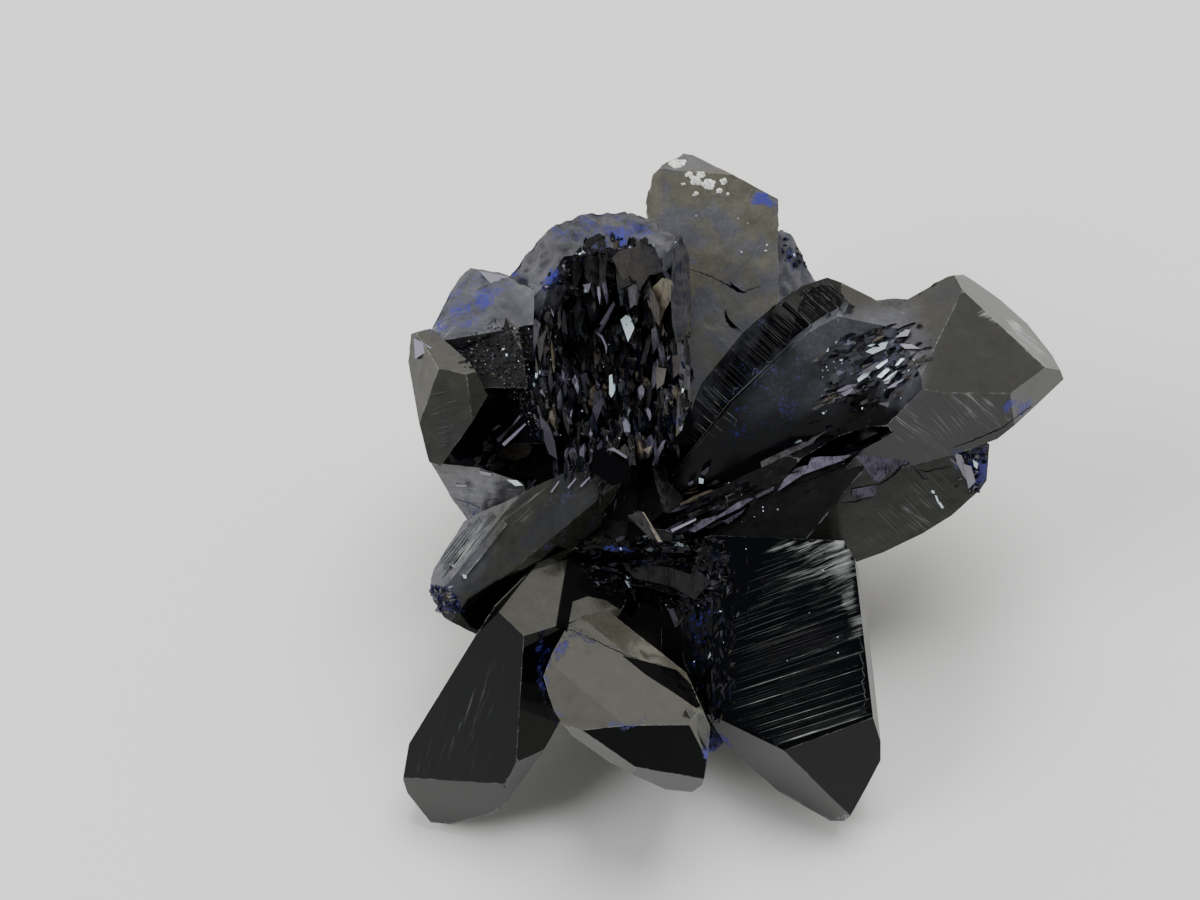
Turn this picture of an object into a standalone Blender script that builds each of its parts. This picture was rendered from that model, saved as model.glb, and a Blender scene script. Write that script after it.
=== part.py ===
"""Azurite specimen: a rosette of bladed crystals grown together from one root.

The fan of crystals lies on a plane that leans back from the resting face. Corners are given in
millimetres on that plane as (across, up), with a third number for how far they stand out of it.
"""
import math
import random

import bmesh
import bpy
from mathutils import Matrix, Vector

MM = 0.001
FAN_PITCH = math.radians(60.0)   # how steeply the fan faces up from the horizontal
FAN_HEIGHT = 16.0                # middle of the fan above the resting face
EYE_DISTANCE = 167.0             # corners are laid out along lines that meet this far in front
BLOCK = 60.0                     # rough block each crystal is cut from
SEED = 31                        # fixes how the small crystals are scattered

OUT = Vector((0.0, -math.cos(FAN_PITCH), math.sin(FAN_PITCH)))
UP = Vector((0.0, math.sin(FAN_PITCH), math.cos(FAN_PITCH)))
FAN = Matrix((
    (1.0, UP.x, OUT.x, 0.0),
    (0.0, UP.y, OUT.y, 0.0),
    (0.0, UP.z, OUT.z, FAN_HEIGHT),
    (0.0, 0.0, 0.0, 1.0),
))
EYE = Vector((0.0, 0.0, EYE_DISTANCE))


# ---------------------------------------------------------------- planes

def seen(across, up, out):
    """The point `out` in front of the fan plane on the line of (across, up)."""
    return EYE + (Vector((across, up, 0.0)) - EYE) * (EYE_DISTANCE - out) / EYE_DISTANCE


def face(across, up, out, rise_across, rise_up):
    """A flat face through a point; it comes out by rise_across and rise_up per millimetre."""
    return seen(across, up, out), Vector((-rise_across, -rise_up, 1.0)).normalized()


def back(across, up, out, rise_across, rise_up):
    """A flat face closing a crystal from behind."""
    point, normal = face(across, up, out, rise_across, rise_up)
    return point, -normal


def keel(across, up, out, turn, slopes, rise):
    """Two faces that close a crystal from behind and meet in a ridge along `turn` degrees."""
    along = Vector((math.cos(math.radians(turn)), math.sin(math.radians(turn))))
    side = Vector((-along.y, along.x))
    return [back(across, up, out, *(side * slopes[0] + along * rise)),
            back(across, up, out, *(side * -slopes[1] + along * rise))]


def on(fronts, corner):
    """Where the line of a corner meets the front of a crystal: the face that lies furthest back."""
    line = Vector((corner[0], corner[1], 0.0)) - EYE
    return EYE + line * max((point - EYE).dot(normal) / line.dot(normal) for point, normal in fronts)


def rims(fronts, corners, undercut):
    """Side faces through each pair of corners, clockwise, leaning in behind by undercut degrees."""
    sides = []
    for index, (start, end) in enumerate(zip(corners, corners[1:])):
        lean = undercut[index] if isinstance(undercut, list) else undercut
        first, second = on(fronts, start), on(fronts, end)
        edge = (second - first).normalized()
        sight = ((first + second) / 2 - EYE).normalized()
        outward = edge.cross(sight).normalized()
        behind = outward.cross(edge).normalized()
        if behind.dot(sight) < 0:
            behind.negate()
        angle = math.radians(lean)
        sides.append((first, outward * math.cos(angle) + behind * math.sin(angle)))
    return sides


# ---------------------------------------------------------------- solids

def cut_block(planes, middle, reach=BLOCK):
    """A convex crystal: a block round `middle` cut by every plane."""
    body = bmesh.new()
    bmesh.ops.create_cube(body, size=2 * reach, matrix=Matrix.Translation(middle))
    for point, normal in planes:
        if normal.dot(Vector(middle) - point) > 0:
            raise ValueError(f"a face at {tuple(point)} leaves the middle {tuple(middle)} out")
        everything = body.verts[:] + body.edges[:] + body.faces[:]
        result = bmesh.ops.bisect_plane(
            body, geom=everything, dist=1e-5, plane_co=point, plane_no=normal, clear_outer=True)
        rim = [item for item in result["geom_cut"] if isinstance(item, bmesh.types.BMEdge)]
        if rim:
            bmesh.ops.contextual_create(body, geom=rim)
    return body


def add_solid(name, body, collection):
    """The cut block as an object, in metres above the resting face."""
    bmesh.ops.dissolve_degenerate(body, dist=1e-3, edges=body.edges[:])
    bmesh.ops.recalc_face_normals(body, faces=body.faces[:])
    body.transform(Matrix.Scale(MM, 4) @ FAN)
    mesh = bpy.data.meshes.new(name)
    body.to_mesh(mesh)
    body.free()
    solid = bpy.data.objects.new(name, mesh)
    collection.objects.link(solid)
    return solid


GROWN = bpy.data.collections.new("grown_together")
CUT = bpy.data.collections.new("cut_away")
HOLLOWS = bpy.data.collections.new("hollows")


def crystal(name, middle, fronts, outline, undercut, backs, collection=None):
    """One crystal: faces towards the eye, an outline with side faces, and faces behind."""
    planes = list(fronts) + rims(fronts, outline, undercut) + list(backs)
    return add_solid(name, cut_block(planes, Vector(seen(*middle))), collection or GROWN)


def ledge(name, plane, start, end, width, height, ends=0.2):
    """A growth step on a face: it rises over `width` to a sharp edge from start to end."""
    first, second = on([plane], start), on([plane], end)
    normal = plane[1]
    edge = (second - first).normalized()
    across = edge.cross(normal).normalized()
    crown = first + normal * height
    planes = [
        (crown, (normal * width + across * height).normalized()),
        (crown, (normal * 0.5 - across).normalized()),
        (first, (normal * ends - edge).normalized()),
        (second, (normal * ends + edge).normalized()),
        (first - normal * 0.35, -normal),
    ]
    middle = (first + second) / 2 + across * width * 0.3
    return add_solid(name, cut_block(planes, middle, 30.0), GROWN)


def subtract(solid, collection):
    """Take every solid of a collection away from one solid."""
    step = solid.modifiers.new("cut", "BOOLEAN")
    step.operation = "DIFFERENCE"
    step.solver = "EXACT"
    step.operand_type = "COLLECTION"
    step.collection = collection


def small_blade(name, across, up, out, turn, length, width, depth, roof, ends, lean=(0.0, 0.0)):
    """A small blade standing out of the root: a roofed ridge that runs along `turn` degrees."""
    forward = Vector((lean[0], lean[1], 1.0)).normalized()
    along = Vector((math.cos(math.radians(turn)), math.sin(math.radians(turn)), 0.0))
    side = forward.cross(along).normalized()
    along = side.cross(forward)
    top = seen(across, up, out)
    planes = []
    for sign, slope in ((1, roof[0]), (-1, roof[1])):
        angle = math.radians(slope)
        planes.append((top, side * sign * math.sin(angle) + forward * math.cos(angle)))
        planes.append((top + side * sign * width / 2, side * sign))
    for sign, slope in ((1, ends[0]), (-1, ends[1])):
        angle = math.radians(slope)
        planes.append((top + along * sign * length * 0.22,
                       along * sign * math.sin(angle) + forward * math.cos(angle)))
        planes.append((top + along * sign * length / 2, along * sign))
    planes.append((top - forward * depth, -forward))
    return add_solid(name, cut_block(planes, top - forward * depth * 0.6, 20.0), GROWN)


# ---------------------------------------------------------------- the three lower crystals

def lower_left_blade():
    """Long prism pointing down and left, with a bevelled tip."""
    corner = (-8.3, -9.7, 4.0)
    crystal(
        "lower_left_blade", (-10.0, -14.0, -1.0),
        [face(*corner, 0.30, 0.20),
         face(*corner, -0.45, -0.60),
         face(*corner, -0.69, 0.27),
         face(-8.9, -18.8, 2.0, -0.93, 0.82),
         face(-13.0, -20.5, -0.1, 0.32, 1.00)],
        [(-2.5, -10.0), (-6.9, -17.9), (-9.5, -21.5), (-10.4, -22.3), (-14.6, -23.4), (-16.6, -20.9),
         (-16.9, -20.0), (-16.5, -17.4), (-11.7, -9.6), (-7.2, -2.6), (-3.5, -2.6)],
        [10, 10, 6, 8, 8, 8, 14, 14, 0, 6],
        keel(-10.0, -14.0, -6.4, 240.0, (0.45, 0.35), 0.24),
    )


def lower_middle_crystal():
    """Stubby crystal that points out and down, with a broad roof face."""
    ridge = (-3.9, -16.4, 8.0)
    crystal(
        "lower_middle_crystal", (-1.0, -14.0, 0.0),
        [face(*ridge, 0.0, -0.80),
         face(*ridge, -0.10, 0.14),
         face(-3.9, -9.2, 2.24, -0.10, -0.93),
         face(-1.4, -11.1, 3.76, -0.33, -1.22),
         face(3.4, -15.6, 7.3, -0.95, -0.30),
         face(-2.9, -17.3, 7.75, 0.45, 0.92),
         face(-0.6, -19.0, 7.3, 0.08, 1.10)],
        [(-2.8, -7.5), (3.3, -12.3), (5.0, -16.2), (4.8, -18.4), (4.4, -20.3), (3.7, -20.8),
         (1.8, -20.6), (-2.3, -18.6), (-4.7, -16.9), (-6.2, -14.9), (-6.9, -12.6), (-6.3, -11.0),
         (-4.6, -7.9), (-2.8, -7.5)],
        [0, 2, 4, 8, 8, 8, 10, 12, 12, 12, 10, 6, 0],
        keel(-0.5, -12.0, -5.6, 275.0, (0.45, 0.40), 0.30),
    )


def lower_right_crystal():
    """Broad crystal with a striated black face and a bevelled end."""
    crystal(
        "lower_right_crystal", (11.0, -11.0, -1.0),
        [face(12.0, -10.0, 3.0, 0.05, 0.05),
         face(13.4, -16.7, 2.7, -0.16, 0.61),
         face(7.5, -16.5, 2.45, 0.75, 1.50),
         face(15.95, -10.0, 3.2, -2.6, -0.26),
         face(4.6, -9.0, 2.3, 0.80, 0.05)],
        [(4.6, -2.6), (14.5, -2.9), (15.3, -4.2), (15.6, -5.0), (16.3, -9.5), (17.1, -18.5), (16.1, -20.4),
         (14.9, -22.5), (14.5, -22.8), (13.5, -22.8), (9.8, -20.7), (6.0, -17.3), (5.0, -15.7),
         (3.2, -12.2), (2.6, -8.0), (4.6, -2.6)],
        [14, 12, 10, 8, 10, 10, 10, 10, 10, 8, 10, 10, 4, 2, 2],
        keel(11.0, -12.0, -7.4, 295.0, (0.35, 0.30), 0.30),
    )


# ---------------------------------------------------------------- the big upper right crystal

def upper_right_crystal():
    """The largest blade: a bevelled head, a ridged shoulder and a lower blade."""
    crystal(
        "upper_right_head", (21.5, 8.0, 0.0),
        [face(23.5, 11.0, 4.5, -0.20, -0.45),
         face(26.7, 11.45, 3.7, -1.15, -1.40),
         face(24.3, 7.6, 5.9, -0.20, 0.80),
         face(27.5, 8.45, 4.9, -0.95, 0.60),
         face(20.8, 5.6, 4.6, 0.05, 0.95),
         face(20.7, 10.4, 5.3, 0.50, -0.83),
         face(19.0, 8.5, 4.9, 1.60, -0.45)],
        [(0.0, 1.0), (18.0, 13.7), (20.9, 15.5), (22.0, 15.95), (23.1, 16.1), (23.9, 15.6),
         (25.7, 14.3), (27.6, 12.6), (29.4, 10.3), (30.2, 8.6), (24.9, 3.9), (22.3, 3.2), (0.0, -3.0)],
        [8, 8, 8, 6, 6, 6, 6, 6, 4, 8, 10, 8],
        keel(20.0, 7.0, -6.0, 24.0, (0.45, 0.35), 0.14),
    )
    crystal(
        "upper_right_shoulder", (9.0, 6.0, -3.0),
        [face(15.1, 13.6, 3.0, 0.163, 0.425),
         face(4.6, 4.7, -2.5, 1.40, -0.59),
         face(9.1, 9.5, 0.15, 1.20, -0.72),
         face(13.2, 12.6, 2.3, 0.90, -0.98),
         face(17.5, 12.4, 2.9, -0.10, -0.80),
         face(18.6, 10.0, 2.6, -0.50, 0.20)],
        [(0.3, -0.6), (1.0, 2.1), (4.4, 8.3), (7.4, 12.0), (9.6, 13.9), (11.5, 15.3), (13.4, 15.9),
         (15.2, 15.15), (19.9, 12.8), (21.0, 11.0), (19.4, 6.6), (18.3, 4.8), (0.3, -0.6)],
        [2, 4, 6, 8, 8, 8, 10, 8, 8, 10, 8, 0],
        keel(9.0, 6.5, -9.6, 42.0, (0.35, 0.40), 0.30),
    )
    crystal(
        "upper_right_lower_blade", (14.0, -0.8, -3.0),
        [face(18.0, 0.0, 0.0, -0.12, 0.58),
         face(14.0, 2.4, 1.3, 0.15, -0.90),
         face(9.0, -0.6, -1.2, 0.30, 0.25)],
        [(0.5, -1.6), (14.3, 5.0), (20.0, 6.0), (24.9, 4.0), (24.7, 1.4), (24.2, 0.7),
         (22.2, -1.1), (20.1, -2.4), (17.4, -3.7), (15.2, -4.5), (1.0, -4.6)],
        [0, 0, 0, 4, 6, 8, 12, 12, 12, 8],
        keel(14.0, 0.0, -7.4, 8.0, (0.45, 0.40), 0.22),
    )


# ---------------------------------------------------------------- the plates behind

def back_plates():
    """Two flat plates at the top, one lapping over the other with a gaping joint."""
    crystal(
        "upper_plate", (5.0, 14.0, -7.8),
        [face(5.0, 19.0, -6.5, 0.12, -0.14),
         face(3.0, 23.2, -7.1, 0.05, -0.75)],
        [(0.2, 2.0), (0.5, 21.6), (0.9, 23.4), (1.6, 23.9), (3.1, 24.8), (3.8, 24.7), (9.9, 21.5), (9.9, 20.8),
         (10.1, 12.0), (3.0, 2.0)],
        [6, 8, 8, 10, 10, 12, 12, 12, 4],
        keel(5.5, 17.0, -10.4, 80.0, (0.12, 0.20), 0.13),
    )
    crystal(
        "broken_plate_edge", (9.5, 15.5, -7.6),
        [face(10.0, 17.0, -7.0, -0.40, -0.10)],
        [(7.5, 13.0), (8.5, 18.2), (10.2, 19.3), (10.9, 19.0), (11.4, 18.0), (12.8, 15.6), (13.0, 12.0), (7.5, 13.0)],
        [4, 8, 10, 10, 12, 12, 0],
        [back(10.0, 16.0, -10.4, -0.10, 0.10)],
    )
    crystal(
        "lower_plate", (5.5, 10.0, -8.0),
        [face(6.0, 12.0, -6.2, 0.10, 0.02)],
        [(1.0, 3.0), (1.8, 10.0), (3.4, 16.6), (4.5, 16.3), (5.8, 15.7), (7.2, 14.8), (10.9, 12.5), (4.0, 3.0)],
        [0, 4, 10, 10, 10, 8, 0],
        [back(5.0, 12.0, -9.8, 0.05, 0.05)],
    )


# ---------------------------------------------------------------- the left side

def left_blocks():
    """The blocky crystals of the left side and the peak behind them."""
    corner = (-14.4, 9.4, 4.0)
    crystal(
        "left_block", (-13.6, 7.5, 1.5),
        [face(*corner, 0.25, 0.20),
         face(*corner, 1.00, -0.09),
         face(*corner, 0.08, -0.70),
         face(-12.2, 6.8, 4.05, -0.10, 0.16)],
        [(-14.3, 2.4), (-15.1, 2.7), (-16.6, 9.9), (-16.4, 11.9), (-15.0, 12.3),
         (-12.2, 9.9), (-10.9, 7.5), (-14.2, 2.5)],
        [0, 10, 8, 6, 10, 10, 24],
        keel(-13.6, 7.0, -6.0, 100.0, (0.50, 0.40), 0.10),
    )
    crystal(
        "left_shoulder", (-10.4, 9.0, -4.5),
        [face(-9.6, 12.2, 2.2, 0.12, -0.50),
         face(-9.6, 12.2, 2.2, -0.10, 0.78)],
        [(-14.6, 2.6), (-14.9, 12.3), (-13.4, 14.6), (-9.4, 16.1), (-7.6, 15.0), (-7.6, 1.0), (-14.6, 2.6)],
        [8, 8, 8, 8, 0, 0],
        keel(-10.5, 10.0, -9.6, 115.0, (0.35, 0.25), 0.20),
    )
    crystal(
        "back_peak", (-11.8, 12.0, -3.5),
        [face(-12.1, 15.0, -0.6, 0.45, -0.55),
         face(-10.6, 15.6, -0.4, -0.25, -0.90)],
        [(-14.9, 8.0), (-15.0, 12.1), (-13.6, 14.9), (-12.9, 16.0), (-12.1, 16.6), (-9.4, 16.2),
         (-8.0, 8.0), (-14.9, 8.0)],
        [8, 10, 10, 10, 10, 6, 6],
        keel(-11.6, 12.0, -7.8, 110.0, (0.30, 0.35), 0.30),
    )
    crystal(
        "left_skirt", (-10.8, 0.8, -2.0),
        [face(-11.5, 1.0, 0.9, 0.50, 0.72)],
        [(-13.4, 0.0), (-15.0, 2.7), (-11.5, 2.3), (-8.3, 1.2), (-7.5, -2.0), (-12.2, -1.7), (-13.4, 0.0)],
        [14, 0, 0, 6, 10, 14],
        keel(-11.0, 0.0, -6.4, 190.0, (0.50, 0.40), 0.35),
    )


def left_ridge():
    """The ridge that crosses from the middle to the lower left, stepped at its end."""
    crystal(
        "left_ridge", (-8.5, -3.5, -0.5),
        [face(-9.0, -3.5, 2.6, -0.26, 0.20),
         face(-8.8, -4.7, 2.35, -0.90, 0.98),
         face(-11.6, -3.3, 3.3, 0.50, -0.40)],
        [(-14.0, -8.4), (-14.8, -7.1), (-15.1, -6.1), (-14.8, -5.0), (-12.6, -1.5), (-6.8, 1.3), (-1.7, 3.7),
         (-0.4, 3.2), (-2.8, -1.8), (-11.7, -9.6), (-14.0, -8.4)],
        [8, 8, 8, 12, 6, 2, 0, 0, 0, 10],
        keel(-9.0, -3.5, -5.6, 210.0, (0.50, 0.45), 0.22),
    )


# ---------------------------------------------------------------- the arch over the hollow

def arch():
    """The rounded crest at the upper left and the deep hollow under it."""
    crest = crystal(
        "arch", (-3.5, 15.0, -4.0),
        [face(-3.4, 18.3, 0.6, 0.12, -0.62),
         face(-1.2, 18.4, 0.4, -0.10, -0.75),
         face(-3.0, 17.0, 0.9, 0.0, 0.08),
         face(-6.6, 16.8, 0.4, 0.62, -0.40),
         face(-7.6, 13.0, 0.8, 0.40, 0.05),
         face(1.0, 18.0, 0.1, -0.45, -0.50)],
        [(-9.0, 4.0), (-9.4, 16.1), (-7.7, 18.2), (-6.8, 19.1), (-5.9, 19.7), (-4.9, 20.1), (-3.5, 20.6),
         (-1.1, 20.6), (-0.2, 20.4), (0.9, 20.1), (2.6, 18.6), (3.5, 16.0), (3.6, 4.0), (-9.0, 4.0)],
        [6, 10, 10, 12, 12, 12, 12, 12, 10, 10, 10, 6, 4],
        keel(-3.0, 14.0, -10.4, 95.0, (0.30, 0.35), 0.32),
    )
    crystal(
        "hollow", (-2.5, 10.0, 0.0),
        [face(-2.0, 10.0, 1.6, 0.0, 0.0)],
        [(-7.4, -1.0), (-7.7, 12.5), (-6.7, 15.6), (-5.0, 17.5), (-2.8, 18.5), (-0.4, 18.4), (1.5, 17.3),
         (2.6, 15.0), (3.1, 10.0), (2.8, -1.0), (-7.4, -1.0)],
        [16, 18, 24, 32, 34, 30, 22, 16, 12, 0],
        [back(-2.0, 10.0, -6.4, 0.0, -0.10)],
        HOLLOWS,
    )
    subtract(crest, HOLLOWS)


def right_wall():
    """The tall shard that walls the hollow on the right."""
    crystal(
        "tall_shard", (2.6, 13.0, -2.5),
        [face(2.8, 14.0, -0.2, 0.45, 0.12),
         face(3.3, 16.0, 0.0, -1.20, 0.10)],
        [(1.2, 7.0), (1.5, 14.5), (2.1, 18.2), (3.0, 19.2), (3.5, 16.9), (3.7, 12.5), (3.2, 7.0), (1.2, 7.0)],
        [4, 4, 4, 6, 6, 6, 0],
        [back(2.6, 13.0, -8.0, 0.0, 0.0)],
    )


def middle_crystals():
    """Small crystals in the middle, where the large ones meet."""
    crystal(
        "middle_splinter", (0.3, -1.9, -1.0),
        [face(0.0, -1.5, 1.2, 0.30, -0.60)],
        [(-0.9, -1.3), (-0.1, -0.7), (0.6, -1.5), (1.5, -3.0), (1.2, -3.1), (-0.9, -1.3)],
        [0, 4, 4, 0, 4],
        [back(0.0, -2.0, -8.0, 0.0, 0.0)],
    )
    crystal(
        "middle_wedge", (1.5, -5.6, -2.0),
        [face(2.0, -5.0, 0.4, -0.10, 0.50),
         face(4.2, -5.2, 0.2, -0.70, 0.30)],
        [(-0.7, -4.3), (2.9, -4.3), (4.3, -4.6), (5.1, -5.7), (3.9, -7.1), (-0.7, -6.0), (-0.7, -4.3)],
        [0, 0, 4, 8, 10, 0],
        [back(0.0, -5.0, -8.0, 0.0, 0.0)],
    )
    crystal(
        "wedge_between", (4.3, -13.0, -3.0),
        [face(4.4, -13.0, -0.6, 0.30, -0.05), face(5.0, -13.0, -0.4, -0.60, 0.10)],
        [(1.5, -7.0), (4.8, -8.0), (6.0, -17.0), (5.9, -17.3), (5.3, -17.9), (4.9, -17.9), (1.5, -12.0), (1.5, -7.0)],
        [0, 8, 6, 6, 6, 8, 0],
        [back(4.0, -12.0, -6.0, 0.0, -0.15)],
    )
    crystal(
        "middle_shelf", (-2.0, -3.6, -3.0),
        [face(-2.0, -3.0, -0.4, -0.05, -0.50),
         face(-2.0, -3.6, -0.1, 0.0, 0.80)],
        [(-5.5, -3.0), (-4.0, -1.0), (3.0, -2.4), (3.6, -3.6), (-0.5, -5.2), (-5.2, -4.4), (-5.5, -3.0)],
        0,
        [back(-2.0, -3.0, -8.0, 0.0, 0.0)],
    )


def blade_hollow():
    """Long spindle-shaped pit between the shoulder and the lower blade."""
    crystal(
        "blade_pit", (15.0, 4.2, 1.0),
        [face(15.0, 4.4, 4.6, 0.35, 0.0)],
        [(9.5, 1.2), (11.4, 3.3), (14.3, 5.2), (16.2, 5.6), (17.9, 5.4), (18.4, 4.8), (18.0, 4.3), (16.2, 3.3),
         (9.5, 1.2)],
        [6, 6, 8, 8, 10, 10, 10, 6],
        [back(15.0, 4.2, -2.2, 0.10, 0.30), back(17.4, 4.6, 0.4, 0.9, 0.10)],
        CUT,
    )


def growth_steps():
    """Ledges on the striated faces."""
    black = face(12.0, -10.0, 3.0, 0.05, 0.05)
    for index, (start, end, width, height) in enumerate((
            ((15.9, -10.6), (6.1, -14.0), 0.8, 0.10), ((15.9, -11.6), (6.5, -15.1), 0.6, 0.12),
            ((16.0, -12.5), (7.1, -15.8), 0.5, 0.12), ((16.0, -13.5), (8.0, -16.5), 0.6, 0.15),
            ((16.1, -14.2), (8.8, -17.0), 0.4, 0.10), ((16.1, -15.1), (9.6, -17.5), 0.5, 0.20))):
        ledge(f"black_step_{index}", black, start, end, width, height)
    band = (face(4.6, 4.7, -2.5, 1.40, -0.59), face(9.1, 9.5, 0.15, 1.20, -0.72),
            face(13.2, 12.6, 2.3, 0.90, -0.98))
    for index, (part, start, end) in enumerate((
            (0, (4.1, 7.2), (5.5, 5.9)), (0, (4.6, 8.0), (6.0, 6.6)), (1, (5.4, 9.2), (6.9, 7.9)),
            (1, (6.6, 10.7), (8.3, 9.3)), (1, (7.3, 11.5), (9.2, 9.8)), (1, (8.6, 12.8), (10.4, 11.0)),
            (2, (10.4, 14.2), (12.3, 12.4)), (2, (11.6, 15.0), (13.6, 13.2)), (2, (12.3, 15.3), (14.3, 13.6)),
            (2, (13.0, 15.5), (15.0, 13.9)))):
        ledge(f"band_step_{index}", band[part], start, end, 0.45, 0.16)
    stair = face(-11.6, -3.3, 3.3, 0.50, -0.40)
    for index, (start, end, width, height) in enumerate((
            ((-10.6, -0.9), (-13.6, -4.7), 0.6, 0.25), ((-11.3, -1.2), (-14.0, -4.8), 0.6, 0.30),
            ((-12.0, -1.6), (-14.2, -4.4), 0.5, 0.22))):
        ledge(f"stair_step_{index}", stair, end, start, width, height)


def hollow_crystals(rng):
    """The small blades that crowd the deep hollow, their ridges running towards the middle."""
    count = 0
    for row in range(10):
        for column in range(8):
            across = -6.7 + column * 1.27 + rng.uniform(-0.5, 0.5) + 0.12 * row
            up = 3.0 + row * 1.50 + rng.uniform(-0.7, 0.7)
            rim = math.hypot((across + 2.2) / 4.9, (up - 9.6) / 8.4)
            if rim > 1.0:
                continue
            out = -4.4 + 3.2 * rim ** 2 + rng.uniform(-0.9, 1.0)
            small_blade(
                f"hollow_blade_{count}", across, up, out, 90.0 - (across + 1.0) * 3.0 + rng.uniform(-22, 22),
                rng.choice((1.3, 1.8, 2.4, 3.2, 4.2)) * rng.uniform(0.85, 1.15),
                rng.choice((0.45, 0.6, 0.8, 1.2)) * rng.uniform(0.85, 1.15), out + 7.2,
                (rng.uniform(22, 68), rng.uniform(22, 68)), (rng.uniform(30, 70), rng.uniform(30, 70)),
                (rng.uniform(-0.16, 0.16), rng.uniform(-0.28, 0.06)))
            count += 1


def crest_crystals():
    """Stout crystals that hang from the crest into the hollow."""
    for index, (across, up, out, turn, length, width, roof, ends) in enumerate((
            (-6.9, 12.6, -0.3, 82, 3.6, 1.3, (50, 34), (60, 40)),
            (-6.2, 15.0, -0.4, 62, 3.2, 1.5, (40, 48), (40, 58)),
            (-4.9, 16.2, -0.5, 70, 2.8, 1.2, (46, 30), (30, 60)),
            (-3.5, 16.4, -0.2, 96, 3.8, 1.5, (38, 46), (24, 62)),
            (-2.3, 16.8, -0.6, 84, 3.0, 1.1, (52, 30), (30, 66)),
            (-0.8, 16.4, 0.1, 98, 4.4, 1.9, (28, 50), (22, 64)),
            (0.7, 15.6, -0.3, 104, 3.4, 1.4, (36, 44), (34, 60)),
            (1.5, 13.4, -0.3, 92, 3.8, 1.2, (30, 52), (46, 56)),
            (2.0, 10.4, -0.8, 88, 3.6, 1.0, (34, 56), (50, 50)),
            (1.7, 7.4, -1.4, 84, 3.2, 0.9, (38, 50), (50, 50)),
            (-6.8, 9.2, -1.0, 94, 3.8, 1.2, (54, 30), (50, 48)),
            (-6.5, 5.8, -1.6, 100, 3.4, 1.1, (50, 36), (50, 46)))):
        small_blade(f"crest_crystal_{index}", across, up, out, turn, length, width, out + 7.0, roof, ends)


def left_recess_crystals(rng):
    """A few crystals in the dark recess between the left block and the hollow."""
    for index in range(7):
        across, up = rng.uniform(-11.0, -8.6), rng.uniform(2.4, 6.0)
        small_blade(
            f"recess_blade_{index}", across, up, -3.6 + rng.uniform(-0.4, 0.7), 40.0 + rng.uniform(-10, 10),
            rng.uniform(1.6, 3.2), rng.uniform(0.5, 1.0), 3.0,
            (rng.uniform(25, 55), rng.uniform(25, 55)), (rng.uniform(30, 60), rng.uniform(30, 60)))


def shoulder_crystals(rng):
    """Rough patch of tiny crystals on the big blade, all lying along it."""
    for index in range(22):
        along = rng.uniform(0.0, 1.0)
        across = 13.4 + 7.2 * along + rng.uniform(-0.4, 0.4)
        up = 7.2 + 4.0 * along + rng.uniform(-1.6, 1.3)
        out = 3.0 + 0.163 * (across - 15.1) + 0.425 * (up - 13.6) + rng.uniform(0.15, 0.5)
        small_blade(
            f"shoulder_blade_{index}", across, up, out, rng.uniform(8, 32),
            rng.uniform(1.0, 2.4), rng.uniform(0.4, 0.8), 2.0,
            (rng.uniform(15, 40), rng.uniform(15, 40)), (rng.uniform(15, 40), rng.uniform(15, 40)))


def middle_druse(rng):
    """Small crystals where the blades meet, fanning out to the right."""
    for index in range(20):
        across = rng.uniform(1.6, 8.5)
        up = -2.2 + 0.42 * (across - 1.6) + rng.uniform(-1.0, 0.9)
        out = -2.9 + 0.12 * across + rng.uniform(-0.5, 0.5)
        small_blade(
            f"middle_blade_{index}", across, up, out, 22.0 + rng.uniform(-8, 8),
            rng.uniform(1.4, 3.0), rng.uniform(0.4, 0.8), out + 7.0,
            (rng.uniform(25, 55), rng.uniform(25, 55)), (rng.uniform(30, 60), rng.uniform(30, 60)))


def root_prism(name, azimuth, climb, length, radius, corners, skew):
    """A stout crystal that radiates from the root, with a slanting end; the floor cuts its foot."""
    start = Vector((1.0, 3.2, -1.5))
    heading, rising = math.radians(azimuth), math.radians(climb)
    axis = Vector((math.cos(heading) * math.cos(rising), math.sin(heading) * math.cos(rising), math.sin(rising)))
    first = Vector((-math.sin(heading), math.cos(heading), 0.0))
    second = axis.cross(first)
    end = start + axis * length
    planes = [(start - axis * 2.0, -axis)]
    for index in range(corners):
        angle = math.radians(skew + 360.0 * index / corners)
        outward = first * math.cos(angle) + second * math.sin(angle)
        share = 1.0 + 0.16 * math.cos(2.0 * angle + skew)
        planes.append((start + outward * radius * share, outward))
        if index % 2 == 0:
            planes.append((end + outward * radius * 0.25, (outward + axis * (0.7 + 0.3 * index)).normalized()))
    to_fan = FAN.inverted()
    turn = to_fan.to_3x3()
    planes = [(to_fan @ point, turn @ normal) for point, normal in planes]
    return add_solid(name, cut_block(planes, to_fan @ (start + axis * length * 0.4), 40.0), GROWN)


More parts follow.
